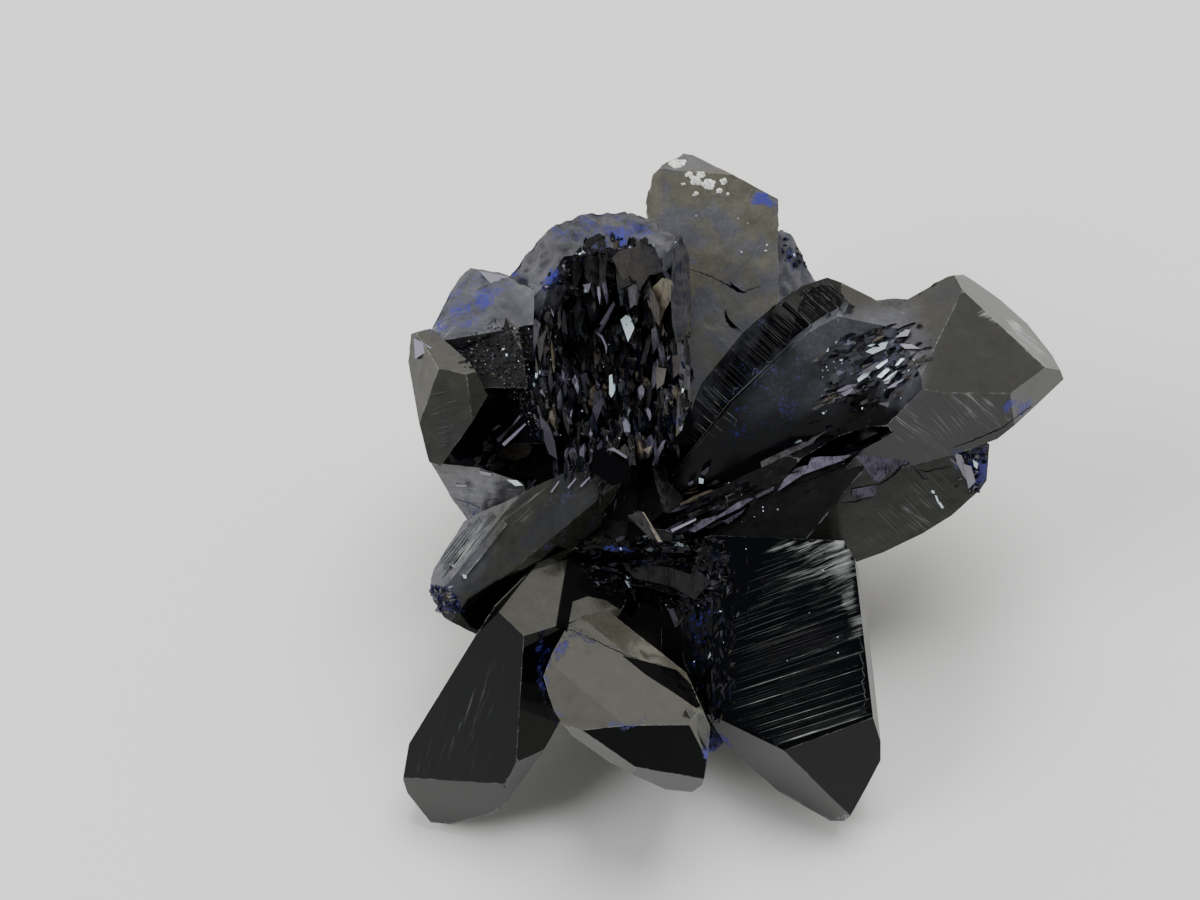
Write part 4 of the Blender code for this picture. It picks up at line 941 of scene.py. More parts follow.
# named small faces: tone, how far it stands out in millimetres, corners
SPLINTERS = (
    # the top of the hollow
    (DIM_GREY, 0.4, ((-3.9, 18.6), (-2.9, 19.1), (-2.4, 18.7), (-2.2, 17.7), (-2.3, 16.6), (-2.5, 14.9),
        (-3.0, 14.6), (-3.4, 15.3), (-3.9, 15.9), (-4.1, 17.1))),
    (DIM_GREY, 0.5, ((-3.0, 18.9), (-2.5, 18.6), (-2.3, 17.6), (-2.5, 15.6), (-2.9, 15.0), (-2.9, 17.0))),
    (DUSK, 0.5, ((-4.9, 17.4), (-4.2, 18.2), (-4.1, 16.4), (-4.4, 15.4), (-4.8, 15.2))),
    (BROWN, 0.7, ((-2.0, 17.3), (-1.6, 17.8), (-0.3, 18.1), (0.0, 18.7), (1.1, 18.0), (1.7, 16.2),
        (0.7, 16.1), (0.1, 15.2), (-0.2, 13.9), (-0.5, 14.0), (-0.9, 15.2), (-1.4, 16.1))),
    (GREY, 0.8, ((0.0, 18.5), (1.1, 17.9), (1.7, 16.3), (0.8, 16.3), (0.3, 17.4))),
    (LILAC, 0.9, ((-0.9, 15.5), (-0.2, 15.4), (-0.3, 14.0), (-0.7, 13.7))),
    (PALE, 0.7, ((-4.1, 15.4), (-3.5, 15.5), (-3.7, 14.8))),
    (LILAC, 0.9, ((-3.9, 14.2), (-3.2, 14.5), (-2.9, 13.2), (-3.5, 12.6))),
    (GREY, 0.9, ((-1.9, 13.4), (-1.3, 13.7), (-1.1, 12.2), (-1.7, 11.8))),
    (LILAC, 0.8, ((-5.0, 14.6), (-4.3, 14.8), (-4.2, 13.5), (-4.8, 13.3))),
    (BROWN, 0.6, ((-4.9, 15.2), (-4.2, 15.5), (-3.8, 14.6), (-4.6, 14.6))),
    (CREAM, 1.0, ((0.9, 15.2), (1.6, 15.9), (2.3, 15.7), (2.5, 14.8), (1.8, 13.6), (1.4, 12.5), (1.1, 13.8))),
    (BROWN, 1.05, ((0.7, 15.2), (1.0, 14.9), (1.4, 13.6), (1.4, 12.4), (1.1, 12.8), (0.7, 13.9))),
    (LILAC, 0.8, ((0.8, 12.2), (1.2, 12.4), (1.4, 11.2), (0.9, 10.4))),
    (PAINTED_GLINT, 1.7, ((-1.4, 12.9), (-0.8, 13.4), (-0.4, 12.3), (-0.85, 11.3))),
    (PAINTED_GLINT, 1.5, ((-1.05, 13.9), (-0.9, 14.05), (-0.85, 13.7), (-0.95, 13.6))),
    (PALE, 1.2, ((-2.9, 12.6), (-1.9, 14.2), (-1.75, 14.0), (-2.6, 12.5))),
    (PALE, 1.2, ((-3.1, 12.0), (-2.3, 13.2), (-2.2, 13.0), (-2.9, 11.8))),
    (PAINTED_GLINT, 1.2, ((-2.2, 8.9), (-2.0, 9.0), (-1.85, 7.6), (-2.05, 7.3), (-2.2, 7.6))),
    (PALE, 1.2, ((-3.2, 12.0), (-2.7, 11.8), (-2.35, 11.0), (-2.4, 10.4), (-2.5, 11.0), (-2.8, 11.6))),
    (GREY, 0.6, ((-7.9, 10.6), (-6.6, 12.4), (-6.9, 11.2), (-7.1, 9.9))),
    # the wall on its right
    (GREY, 0.5, ((2.9, 19.0), (3.5, 17.6), (3.65, 15.0), (3.4, 12.4), (2.6, 11.2), (2.3, 12.6), (2.2, 14.6),
        (2.3, 17.0))),
    (BLACK, 0.5, ((1.9, 16.4), (2.4, 16.8), (2.6, 13.6), (2.4, 11.8), (1.6, 11.0), (1.4, 12.6), (1.9, 14.4))),
    (BLACK, 0.6, ((-3.4, 3.4), (-2.6, 3.8), (-1.6, 3.6), (-0.8, 2.8), (-0.6, 1.4), (-2.0, 1.0), (-3.4, 2.0))),
    (PALE, 0.65, ((-2.4, 3.6), (-1.9, 3.75), (-0.9, 3.1), (-1.0, 2.95), (-1.8, 3.45))),
    # its lower half
    (LILAC, 0.8, ((-5.2, 7.9), (-4.8, 8.1), (-4.7, 7.0), (-5.0, 6.8))),
    (LILAC, 0.8, ((-4.3, 9.0), (-3.8, 9.1), (-3.6, 8.3), (-4.1, 8.0))),
    (LILAC, 0.9, ((-3.3, 7.6), (-2.8, 7.9), (-2.6, 6.9), (-3.1, 5.6), (-3.4, 6.4))),
    (BROWN, 0.9, ((-1.3, 9.4), (-0.5, 9.5), (-0.3, 8.2), (-0.7, 7.0), (-1.2, 7.8))),
    (CREAM, 0.9, ((-0.4, 9.2), (0.1, 9.3), (0.0, 8.4), (-0.3, 8.6))),
    (CREAM, 0.8, ((0.5, 10.1), (1.0, 10.2), (0.9, 9.4), (0.5, 9.5))),
    (BROWN, 0.8, ((1.1, 9.5), (1.9, 9.4), (1.7, 8.3), (1.2, 7.9))),
    (BROWN, 0.5, ((2.3, 10.3), (2.9, 10.4), (2.8, 8.9), (2.4, 8.8))),
    (CREAM, 0.9, ((0.1, 6.6), (0.9, 6.6), (1.0, 6.0), (0.3, 5.7))),
    (LILAC, 0.9, ((-3.4, 5.4), (-2.6, 5.3), (-2.5, 4.2), (-3.2, 4.0))),
    (PALE, 1.3, ((-7.2, 6.1), (-6.5, 5.3), (-6.1, 4.2), (-5.9, 2.9), (-6.5, 3.3), (-7.0, 4.6))),
    (LILAC, 0.8, ((-6.3, 3.4), (-5.9, 3.0), (-5.8, 1.4), (-6.2, 1.8))),
    (BLACK, 0.15, ((3.65, 6.8), (3.3, 6.0), (3.0, 5.0), (2.4, 4.3), (2.3, 3.95), (3.65, 3.95))),
    # thick ends of the cracks on the plates, black plates of painted shadow
    (BLACK, 0.02, ((6.4, 15.6), (7.3, 14.95), (7.0, 14.85), (6.6, 15.15))),
    (BLACK, 0.02, ((6.05, 13.5), (6.4, 12.9), (7.0, 12.3), (7.2, 12.15), (6.5, 12.4), (6.1, 13.0))),
    (PALE, 0.8, ((1.0, 2.4), (1.5, 3.4), (1.85, 4.3), (1.6, 4.2), (1.15, 3.4), (0.85, 2.5))),
    (CREAM, 0.7, ((0.2, 3.6), (0.9, 3.9), (0.6, 3.3))),
    (BROWN, 0.7, ((-8.5, 4.0), (-7.8, 4.6), (-7.6, 3.4), (-8.2, 3.1))),
    # left recess
    (CREAM, 1.8, ((-10.2, 3.1), (-9.6, 3.9), (-8.4, 4.3), (-7.7, 3.9), (-7.9, 3.2), (-8.9, 2.8))),
    (GREY, 1.6, ((-10.4, 3.5), (-9.9, 4.4), (-8.9, 5.4), (-8.2, 5.7), (-8.3, 5.2), (-9.3, 4.2),
        (-10.1, 3.2))),
    (PALE, 1.8, ((-10.3, 4.3), (-9.3, 5.3), (-8.1, 5.95), (-8.2, 5.8), (-9.2, 5.1), (-10.1, 4.1))),
    (PALE, 1.9, ((-9.9, 4.0), (-9.0, 4.8), (-8.2, 5.5), (-8.2, 5.35), (-8.9, 4.6), (-9.7, 3.85))),
    (PALE, 0.1, ((-16.2, 11.6), (-15.8, 11.4), (-14.9, 10.9), (-15.3, 10.6), (-16.1, 10.1))),
    (PALE, 0.1, ((-11.5, 16.4), (-9.4, 16.0), (-10.0, 15.5), (-10.6, 15.4))),
    (LILAC, 0.4, ((-8.1, 11.0), (-7.5, 13.0), (-7.1, 12.6), (-7.6, 10.4))),
    # the ledges under the big blade
    (DIM_GREY, 0.20, ((8.6, 2.7), (9.6, 3.7), (11.4, 4.9), (12.6, 6.1), (13.9, 6.6), (14.7, 6.3), (13.6, 5.1),
        (12.6, 4.4), (11.6, 3.2), (10.3, 2.1), (9.6, 0.9), (8.9, 0.6))),
    (DIM_LILAC, 0.15, ((9.8, 0.6), (10.3, 1.5), (11.1, 2.3), (12.0, 2.5), (12.2, 3.0), (12.8, 3.1),
        (13.7, 3.1), (15.1, 3.2), (14.4, 2.8), (13.0, 2.3), (11.6, 1.8), (10.4, 1.0))),
    (DIM_LILAC, 0.12, ((15.4, 3.1), (18.1, 4.3), (18.5, 3.8), (18.4, 3.3), (18.8, 3.4), (19.2, 2.6),
        (18.6, 2.5), (17.8, 1.9), (17.1, 1.3), (16.6, 1.4), (16.1, 2.2))),
    (DIM_LILAC, 0.12, ((15.1, 0.75), (16.9, 1.1), (16.8, 0.3), (15.6, 0.1), (15.1, 0.3))),
    (LILAC, 0.3, ((8.2, 0.3), (9.6, 1.0), (9.5, 0.7), (8.3, 0.1))),
    (DIM_LILAC, 0.5, ((3.4, -2.2), (4.4, -1.4), (5.6, -1.1), (6.9, -0.2), (8.1, 0.3), (8.1, 0.1), (7.1, -0.6),
        (5.6, -1.3), (4.6, -1.9), (3.9, -2.3))),
    (DIM_LILAC, 0.5, ((5.9, -1.5), (7.4, -0.7), (7.6, -0.5), (7.2, -1.0), (6.3, -1.7))),
    # the middle
    # a black plate: the dark crumbly middle, and painted shade in the gap beside the lower left blade
    (BLACK, 0.10, ((-5.1, -3.8), (-2.9, -3.4), (0.0, -4.6), (0.5, -6.4), (-0.6, -8.4), (-2.4, -7.1),
        (-3.7, -6.8), (-4.8, -7.2), (-5.2, -9.4), (-6.0, -9.1))),
    (BLACK, 0.10, ((-5.9, -3.3), (-7.0, -4.3), (-8.5, -5.1), (-10.3, -5.8), (-12.3, -7.1), (-12.9, -8.0),
        (-12.1, -9.1), (-11.4, -9.3), (-10.1, -8.0), (-8.7, -6.2), (-7.3, -4.5), (-5.2, -3.5))),
    (BLACK, 0.02, ((10.7, 11.4), (11.4, 14.0), (12.0, 14.9), (13.0, 15.4), (14.0, 15.2), (14.6, 14.5),
        (14.3, 13.8), (13.3, 13.3), (12.0, 12.4))),
    (DIM_GREY, 0.7, ((-0.9, -1.1), (0.1, -0.8), (1.5, -3.0), (0.9, -2.9))),
    (CREAM, 0.75, ((0.05, -0.8), (0.3, -0.9), (1.6, -3.0), (1.3, -3.0))),
    (DUSK, 0.5, ((-1.3, -4.5), (2.1, -4.8), (2.1, -6.1), (-0.4, -5.6))),
    (DUSK, 0.7, ((2.1, -4.8), (3.6, -5.3), (4.1, -5.0), (5.1, -5.8), (3.9, -7.1), (2.1, -6.1))),
    (PAINTED_GLINT, 0.35, ((-1.0, -5.4), (-0.85, -5.5), (-0.6, -6.3), (-0.8, -6.1))),
    (PAINTED_GLINT, 0.35, ((-0.55, -6.6), (-0.4, -6.7), (-0.25, -7.3), (-0.4, -7.1))),
    (PAINTED_GLINT, 0.35, ((-0.15, -7.3), (0.0, -7.4), (0.0, -7.7), (-0.15, -7.6))),
    (PAINTED_GLINT, 0.9, ((4.2, 1.6), (4.55, 1.5), (4.5, 1.15), (4.2, 1.2))),
    (LILAC, 0.9, ((4.3, 1.9), (4.9, 2.4), (4.9, 2.1), (4.6, 1.7))),
    (PALE, 0.9, ((3.4, 1.2), (3.8, 1.4), (3.8, 1.2), (3.5, 1.0))),
    (PALE, 0.8, ((2.2, -2.1), (4.0, -1.3), (4.0, -1.45), (2.3, -2.3))),
    (LILAC, 0.5, ((2.0, -7.8), (2.4, -7.7), (2.8, -8.9), (2.5, -9.1))),
    (PAINTED_GLINT, 0.5, ((-1.1, -5.7), (-0.85, -5.8), (-0.7, -6.3), (-0.85, -6.2))),
    # the middle crystal's broken side
    # a black plate that paints the shade of a dark side face between the upper roof and the roof
    (BLACK, 0.05, ((-1.2, -11.1), (0.0, -11.4), (2.6, -12.1), (3.4, -12.9), (4.3, -13.8), (4.5, -14.6),
        (4.0, -14.8), (3.0, -14.1), (2.1, -13.5), (0.4, -12.4))),
    (GREY, 0.10, ((3.1, -14.7), (4.6, -15.4), (5.0, -16.2), (4.8, -17.8))),
    # glints on the left skirt and the ridge
    (PAINTED_GLINT, 0.15, ((-9.5, 1.45), (-8.8, 1.4), (-8.35, 1.05), (-8.9, 1.0))),
    (PALE, 0.3, ((-8.2, 1.8), (-7.6, 1.1), (-7.4, 0.5), (-8.0, 1.0))),
    (PALE, 0.1, ((-13.2, 1.1), (-12.4, 1.1), (-12.4, 0.95), (-13.1, 0.95))),
    (PALE, 0.1, ((-11.5, 2.1), (-10.6, 1.9), (-10.7, 1.7), (-11.4, 1.9))),
    (PAINTED_GLINT, 0.15, ((-12.7, -5.3), (-12.4, -5.4), (-12.4, -5.6), (-12.6, -5.6))),
    (PALE, 0.25, ((-8.1, 0.8), (-7.5, 1.5), (-7.4, 1.4), (-8.0, 0.7))),
    (PALE, 0.25, ((-6.4, 0.6), (-5.8, 1.4), (-5.75, 1.3), (-6.3, 0.5))),
    (PALE, 0.25, ((-5.2, 0.9), (-4.6, 1.6), (-4.55, 1.5), (-5.1, 0.8))),
    (PALE, 0.25, ((-4.3, 1.0), (-3.6, 1.7), (-3.55, 1.6), (-4.2, 0.9))),
    # the big blade's broken patch
    (PAINTED_GLINT, 0.2, ((16.2, 11.0), (17.4, 10.8), (17.5, 10.95), (16.6, 11.15))),
    (PAINTED_GLINT, 0.2, ((18.5, 11.9), (18.9, 11.8), (18.9, 12.0))),
    (LILAC, 0.25, ((15.4, 8.9), (16.8, 9.8), (18.4, 10.2), (18.3, 9.8), (16.9, 9.3))),
    (PAINTED_GLINT, 0.3, ((16.8, 9.5), (17.7, 10.1), (17.85, 10.0), (17.0, 9.35))),
    (PAINTED_GLINT, 0.25, ((14.2, 10.0), (14.5, 10.05), (14.4, 9.9))),
    (PAINTED_GLINT, 0.3, ((16.1, 10.6), (17.2, 11.2), (17.7, 11.3), (17.5, 10.8), (16.6, 10.4))),
    (PAINTED_GLINT, 0.3, ((18.2, 9.6), (18.6, 10.1), (18.9, 10.1), (18.4, 9.6))),
    (PAINTED_GLINT, 0.3, ((16.9, 8.8), (17.9, 9.7), (18.6, 10.0), (18.2, 9.6), (17.2, 8.7))),
    (PAINTED_GLINT, 0.3, ((15.5, 8.6), (16.2, 9.3), (16.7, 9.4), (16.2, 8.8), (15.6, 8.4))),
    (PALE, 0.3, ((17.4, 8.3), (18.0, 8.9), (18.2, 8.9), (17.7, 8.3))),
    (PALE, 0.3, ((18.2, 11.6), (19.0, 12.2), (19.3, 12.1), (19.1, 11.7))),
    (PALE, 0.3, ((13.6, 7.6), (14.8, 8.2), (15.6, 8.3), (14.6, 7.8))),
    (LILAC, 0.3, ((14.6, 9.9), (15.6, 10.4), (16.0, 10.2), (15.0, 9.7))),
    (PAINTED_GLINT, 0.25, ((12.95, 6.25), (13.2, 6.25), (13.1, 6.1))),
    (PAINTED_GLINT, 0.05, ((20.75, 0.7), (20.95, 0.65), (21.0, 0.45), (20.8, 0.5))),
    (PAINTED_GLINT, 0.05, ((21.0, 0.35), (21.15, 0.3), (21.3, -0.1), (21.15, -0.1))),
    (PAINTED_GLINT, 0.05, ((21.15, -0.1), (21.4, -0.15), (21.65, -0.55), (21.5, -0.6))),
    (PAINTED_GLINT, 0.2, ((13.3, 10.6), (13.5, 10.9), (13.45, 10.6))),
    (PAINTED_GLINT, 0.2, ((13.8, 11.2), (14.1, 11.35), (14.0, 11.2))),
    (PALE, 0.2, ((15.6, 9.2), (16.3, 8.95), (16.5, 8.7), (15.8, 8.8))),
    (PALE, 0.2, ((18.4, 11.2), (19.4, 11.1), (20.0, 10.8), (18.9, 10.8))),
    (LILAC, 0.2, ((17.0, 6.9), (17.8, 7.0), (17.7, 6.6))),
    (PALE, 0.2, ((14.3, 7.6), (15.3, 8.1), (15.5, 7.9), (14.6, 7.4))),
    # the broken corner of the big blade
    (PALE, 0.4, ((23.0, 2.6), (23.6, 2.4), (23.9, 1.3), (23.4, 0.8))),
    (PAINTED_GLINT, 0.3, ((23.7, 2.9), (24.1, 2.6), (24.0, 2.2), (23.8, 2.4))),
    (PALE, 0.3, ((22.4, 3.4), (22.9, 3.2), (23.4, 2.0), (23.5, 1.2), (23.1, 1.6), (22.6, 2.6))),
    # behind the head
    (GREY, -0.1, ((16.4, 14.2), (18.1, 14.4), (19.6, 14.3), (20.4, 14.9), (21.0, 15.5), (21.8, 15.8),
        (22.2, 15.0), (21.1, 13.6), (18.9, 12.3), (17.1, 13.0))),
)


class AZURITE_OT_splinters(bpy.types.Operator):
    """Set the larger of the small crystals, one by one"""
    bl_idname = "azurite.splinters"
    bl_label = "Larger splinters"

    def execute(self, context):
        tree, rng, body = rosette_tree(), random.Random(31), bmesh.new()
        layer = body.faces.layers.float.new("tone")
        for tone, lift, outline in SPLINTERS:
            if tone == BLACK and lift < HUGGING:
                faces = self.film(body, tree, lift, outline)
            else:
                faces = self.splinter(body, tree, rng, lift, outline)
            for face in faces:
                face[layer] = tone
                face.material_index = int(tone in GLOSSLESS)
            bmesh.ops.recalc_face_normals(body, faces=faces)
        mesh = kept("splinters", body)
        mesh.materials.append(small_crystal_finish("azurite_splinters", 0.04))
        mesh.materials.append(small_crystal_finish("azurite_dull_splinters", 0.0, 1.4, level=0.02))
        piece("large_splinters", [mesh])
        return {"FINISHED"}

    def film(self, body, tree, lift, outline, step=0.14, depth=0.4):
        """A thin closed plate that follows the faces under it."""
        spots = np.array(outline)
        ring = [Vector(start + (end - start) * quarter / 4)
                for start, end in zip(spots, np.roll(spots, -1, 0)) for quarter in range(4)]
        (west, south), (east, north) = spots.min(0), spots.max(0)
        within = [Vector((x, y)) for x in np.arange(west, east, step) for y in np.arange(south, north, step)]
        places, _, faces, *_ = delaunay_2d_cdt(ring + within, [], [list(range(len(ring)))], 1, 1e-5)
        hits = [seen(tree, *place) or strike(tree, *spots.mean(0)) for place in places]
        tops = laid_out(np.array([hit[0] for hit in hits]))[2]
        front, back = ([body.verts.new(on_fan(*place, top + off)) for place, top in zip(places, tops)]
                       for off in (lift, -depth))
        sides = {(a, b) for face in faces for a, b in zip(face, [*face[1:], face[0]])}
        made = [body.faces.new([front[k] for k in face]) for face in faces]
        made += [body.faces.new([back[k] for k in reversed(face)]) for face in faces]
        made += [body.faces.new((front[a], back[a], back[b], front[b])) for a, b in sorted(sides)
                 if (b, a) not in sides]
        return made

    def splinter(self, body, tree, rng, lift, outline, root=0.8):
        """A flat-topped splinter whose top runs just in front of what lies under its corners."""
        spots = np.array(outline)
        middle = spots.mean(0)
        tops = []
        for share in (0.8, 0.45, 0.0):
            for across, up in middle + (spots - middle) * share:
                hit = seen(tree, across, up) or strike(tree, *middle)
                tops.append((across, up, laid_out(np.array(hit[0])[None])[2][0]))
        tops = np.array(tops)
        # the plane nearest to those places, kept in front of the middle
        flat = np.c_[tops[:, :2] - middle, np.ones(len(tops))]
        slope = np.linalg.lstsq(flat, tops[:, 2], rcond=None)[0]
        slope[:2] = np.clip(slope[:2], -0.6, 0.6) + (rng.uniform(-0.12, 0.12), rng.uniform(-0.12, 0.12))
        slope[2] = tops[-1, 2] + lift
        front, back = [], []
        for across, up in outline:
            out = slope[0] * (across - middle[0]) + slope[1] * (up - middle[1]) + slope[2]
            front.append(body.verts.new(on_fan(across, up, out)))
            inner = middle + (np.array((across, up)) - middle) * 0.8
            back.append(body.verts.new(on_fan(*inner, out - lift - root)))
        sides = zip(front, back, back[1:] + back[:1], front[1:] + front[:1])
        return [body.faces.new(front), body.faces.new(back[::-1]), *(body.faces.new(side) for side in sides)]


BLACK_FACE = ((5.6, -15.8), (5.9, -8.0), (9.4, -3.2), (15.6, -3.1), (16.4, -14.6), (9.8, -17.6))
BAND = ((3.0, 3.6), (4.1, 7.1), (6.6, 10.9), (8.4, 12.9), (11.4, 15.1), (13.2, 16.1), (15.0, 15.4),
    (16.3, 14.3), (14.3, 13.4), (12.3, 12.1), (9.4, 9.6), (6.8, 7.0), (3.9, 3.4))

# rows of lines on the striated faces: start and end of the row, turn, count, where the lines may reach
# (outline), shortest and longest share of that reach, width, darkest and brightest tone of the painted
# highlight, seed
LINED = (
    ((11.2, -9.0), (13.0, -16.6), 18, 60, BLACK_FACE, 0.3, 1.0, 0.035, 0.0, 0.2, 31),
    ((11.0, -3.6), (13.6, -9.0), 20, 46, BLACK_FACE, 0.15, 0.6, 0.045, 0.0, 0.3, 22),
    ((12.4, -2.6), (14.4, -8.6), 26, 70, ((9.4, -3.2), (15.4, -2.9), (16.0, -9.6), (14.4, -7.6),
        (12.6, -5.6)), 0.4, 1.0, 0.05, 0.2, 1.0, 35),
    ((3.4, 4.6), (5.6, 8.0), -42, 20, BAND, 0.7, 1.0, 0.06, 0.0, 0.6, 23),
    ((5.6, 8.0), (9.0, 11.6), -42, 28, BAND, 0.7, 1.0, 0.05, 0.0, 0.2, 24),
    ((9.0, 11.6), (14.4, 15.0), -42, 32, BAND, 0.5, 1.0, 0.05, 0.0, 0.25, 25),
    ((15.6, -3.4), (22.0, 1.4), -46, 40, ((15.4, -4.0), (18.0, 1.6), (22.6, 2.6), (21.8, -1.0)), 0.2, 1.0,
        0.04, 0.0, 0.6, 26),
    ((20.4, 5.0), (26.0, 6.4), -50, 18, ((19.4, 7.6), (25.8, 7.6), (25.6, 5.2), (21.4, 3.6)), 0.2, 0.8, 0.035,
        0.2, 0.8, 27),
    ((-14.4, 8.0), (-13.4, 3.0), 12, 15, ((-15.4, 8.4), (-12.6, 8.0), (-12.9, 3.4), (-14.6, 3.4)), 0.4, 0.9,
        0.16, 0.0, 0.12, 28),
    ((-13.6, -1.2), (-13.9, -6.6), 52, 16, ((-15.0, -6.0), (-14.0, -3.0), (-11.0, -0.8), (-10.2, -1.4),
        (-13.0, -6.4)), 0.4, 1.0, 0.16, 0.0, 1.0, 29),
    ((2.2, 17.4), (3.4, 12.4), 98, 10, ((2.3, 18.4), (3.4, 17.6), (3.6, 12.6), (2.3, 12.0)), 0.4, 1.0, 0.04,
        0.0, 0.8, 30),
)

# single ridges: width in millimetres, tone of the painted highlight, and the places they run through
EDGES = (
    (0.06, 0.75, ((6.3, -13.8), (16.4, -10.6))), (0.06, 0.85, ((6.6, -14.9), (16.4, -11.8))),
    (0.05, 0.5, ((7.2, -15.8), (16.4, -12.9))), (0.06, 0.8, ((8.0, -16.2), (16.4, -13.6))),
    (0.07, 0.9, ((8.4, -16.6), (16.4, -14.1))), (0.05, 0.6, ((9.0, -17.0), (16.4, -14.7))),
    (0.14, 0.8, ((9.9, -17.3), (16.4, -15.2))), (0.05, 0.5, ((19.1, 7.6), (22.4, 4.2))),
    (0.12, 0.25, ((2.6, 2.2), (4.5, 4.6), (6.4, 7.0), (8.6, 9.1), (10.8, 11.2), (12.1, 12.0))),
    (0.07, 0.7, ((5.0, 6.6), (6.6, 5.5))), (0.08, 0.9, ((5.0, 7.3), (6.9, 5.7), (6.7, 5.2))),
    (0.06, 0.8, ((4.3, 6.2), (6.0, 4.8))), (0.06, 0.7, ((3.9, 5.6), (5.4, 4.4))),
)


def reach(outline, start, way):
    """How far a line through start runs each way before it leaves the outline."""
    crossings = []
    for first, second in zip(outline, outline[1:] + outline[:1]):
        both = np.stack([way, np.array(first) - second], 1)
        if abs(np.linalg.det(both)) > 1e-9:
            run, share = np.linalg.solve(both, np.array(first) - start)
            if 0.0 <= share <= 1.0:
                crossings.append(run)
    behind = [run for run in crossings if run <= 0.0]
    ahead = [run for run in crossings if run > 0.0]
    return (max(behind), min(ahead)) if behind and ahead else None


class AZURITE_OT_lines(bpy.types.Operator):
    """Lay fine raised growth lines on the striated faces"""
    bl_idname = "azurite.lines"
    bl_label = "Growth lines"

    def execute(self, context):
        self.tree = rosette_tree()
        self.points, self.links, self.girth, self.tone = [], [], [], []
        for start, end, turn, count, outline, shortest, longest, width, dark, bright, seed in LINED:
            rng = random.Random(seed)
            way = heading(turn)
            for k in range(count):
                share = (k + rng.uniform(-0.4, 0.4)) / count
                spot = np.array(start) * (1 - share) + np.array(end) * share
                run = reach(outline, spot, way)
                if run is None:
                    continue
                length = (run[1] - run[0]) * rng.uniform(shortest, longest)
                middle = rng.uniform(run[0] + length / 2, run[1] - length / 2)
                path = (spot + way * (middle - length / 2), spot + way * (middle + length / 2))
                self.chain(path, width * rng.uniform(0.5, 1.0), rng.uniform(dark, bright))
        for width, tone, path in EDGES:
            self.chain(path, width, tone)
        base = bpy.data.meshes.new("line_points")
        base.from_pydata(self.points, self.links, [])
        add_values(base, "girth", "POINT", self.girth)
        add_values(base, "tone", "POINT", self.tone)
        girth = context.scene.azurite_detail.line_girth / 2
        piece("growth_lines", [grown("growth_lines", line_tree(), base, {"Girth": girth}, self.finish())])
        return {"FINISHED"}

    def chain(self, path, width, tone, spacing=0.4, gap=0.9):
        """A chain of points along a path, broken where the crystals fall away; all in millimetres."""
        places = []
        for first, second in zip(path, path[1:]):
            steps = max(1, round(math.dist(first, second) / spacing))
            places += [np.array(first) + (np.array(second) - first) * k / steps for k in range(steps)]
        runs = [[]]
        for place in [*places, path[-1]]:
            hit = seen(self.tree, *place)
            if hit is None or (runs[-1] and (hit[0] - runs[-1][-1]).length > gap * MM):
                runs.append([])
            if hit is not None:
                runs[-1].append(hit[0])
        for run in runs:
            if len(run) < 3:
                continue
            first = len(self.points)
            self.points += run
            self.links += [(first + k, first + k + 1) for k in range(len(run) - 1)]
            self.tone += [tone] * len(run)
            for k in range(len(run)):
                share = k / (len(run) - 1)
                self.girth.append(width * max(min(1.0, 5 * share, 5 * (1 - share)), 0.15))

    def finish(self):
        """The lines: black glass, brushed with a painted pale highlight as strong as each line's tone."""
        settings = bpy.context.scene.azurite_rosette
        finish = Finish("azurite_growth_lines", IOR=REFRACTION)
        where = finish.place()
        grainy = finish.noise(where, 0.45, 4.0, 0.6)
        fine = finish.noise(where, 4.0, 3.0, 0.6)
        # painted highlight on the lines, as strong as their tone
        lit = (finish.attribute("tone") * (0.35 + 0.65 * grainy.between(0.38, 0.62))
               * (0.6 + 0.8 * fine)).clamped()
        return finish.feed(
            Base_Color=finish.mix(lit, settings.body_colour, settings.painted_highlight_colour),
            Roughness=(0.08 + 0.25 * fine).clamped(), Normal=finish.bump(fine, 0.4, 0.02))


# cracks: width in millimetres and the places they run through
CRACKS = (
    (0.14, ((3.4, 16.5), (4.6, 16.2), (5.7, 15.7), (6.8, 15.0), (7.5, 14.9), (8.6, 15.3))),
    (0.10, ((6.1, 13.7), (6.3, 12.9), (6.8, 12.2), (7.3, 12.0))),
    (0.22, ((22.3, 3.7), (23.6, 4.2), (25.8, 5.1), (27.9, 6.7))),
    (0.28, ((16.9, 1.1), (17.6, 1.4), (18.1, 1.8), (18.6, 2.4), (19.3, 2.6))),
    (0.22, ((14.3, -0.2), (15.4, -0.1), (16.1, 0.1), (16.8, 0.3))),
    (0.16, ((19.6, 2.2), (20.2, 1.5), (20.6, 1.5))),
    (0.20, ((19.8, 2.2), (20.5, 2.0), (21.5, 2.3), (22.2, 2.4))),
    (0.14, ((21.6, 3.0), (22.3, 3.2))),
    # this one is the painted shadow of a step on the middle crystal's roof, not a crack
    (0.14, ((-6.0, -8.9), (-4.6, -9.4), (-3.2, -10.0), (-1.6, -10.8), (0.3, -11.5), (1.6, -11.8))),
    (0.30, ((6.4, 15.4), (7.2, 14.9), (7.6, 14.8))),
    (0.24, ((6.1, 13.6), (6.2, 12.8), (6.7, 12.2))),
    (0.10, ((-13.2, 0.1), (-12.3, -0.2), (-11.4, -0.6))),
    (0.08, ((-11.0, 0.0), (-10.1, 0.1))),
    (0.08, ((-10.9, 12.6), (-10.4, 12.9), (-10.2, 12.5))),
    (0.12, ((16.0, 3.5), (14.0, 2.2), (12.0, 1.4), (9.6, 0.6))),
)


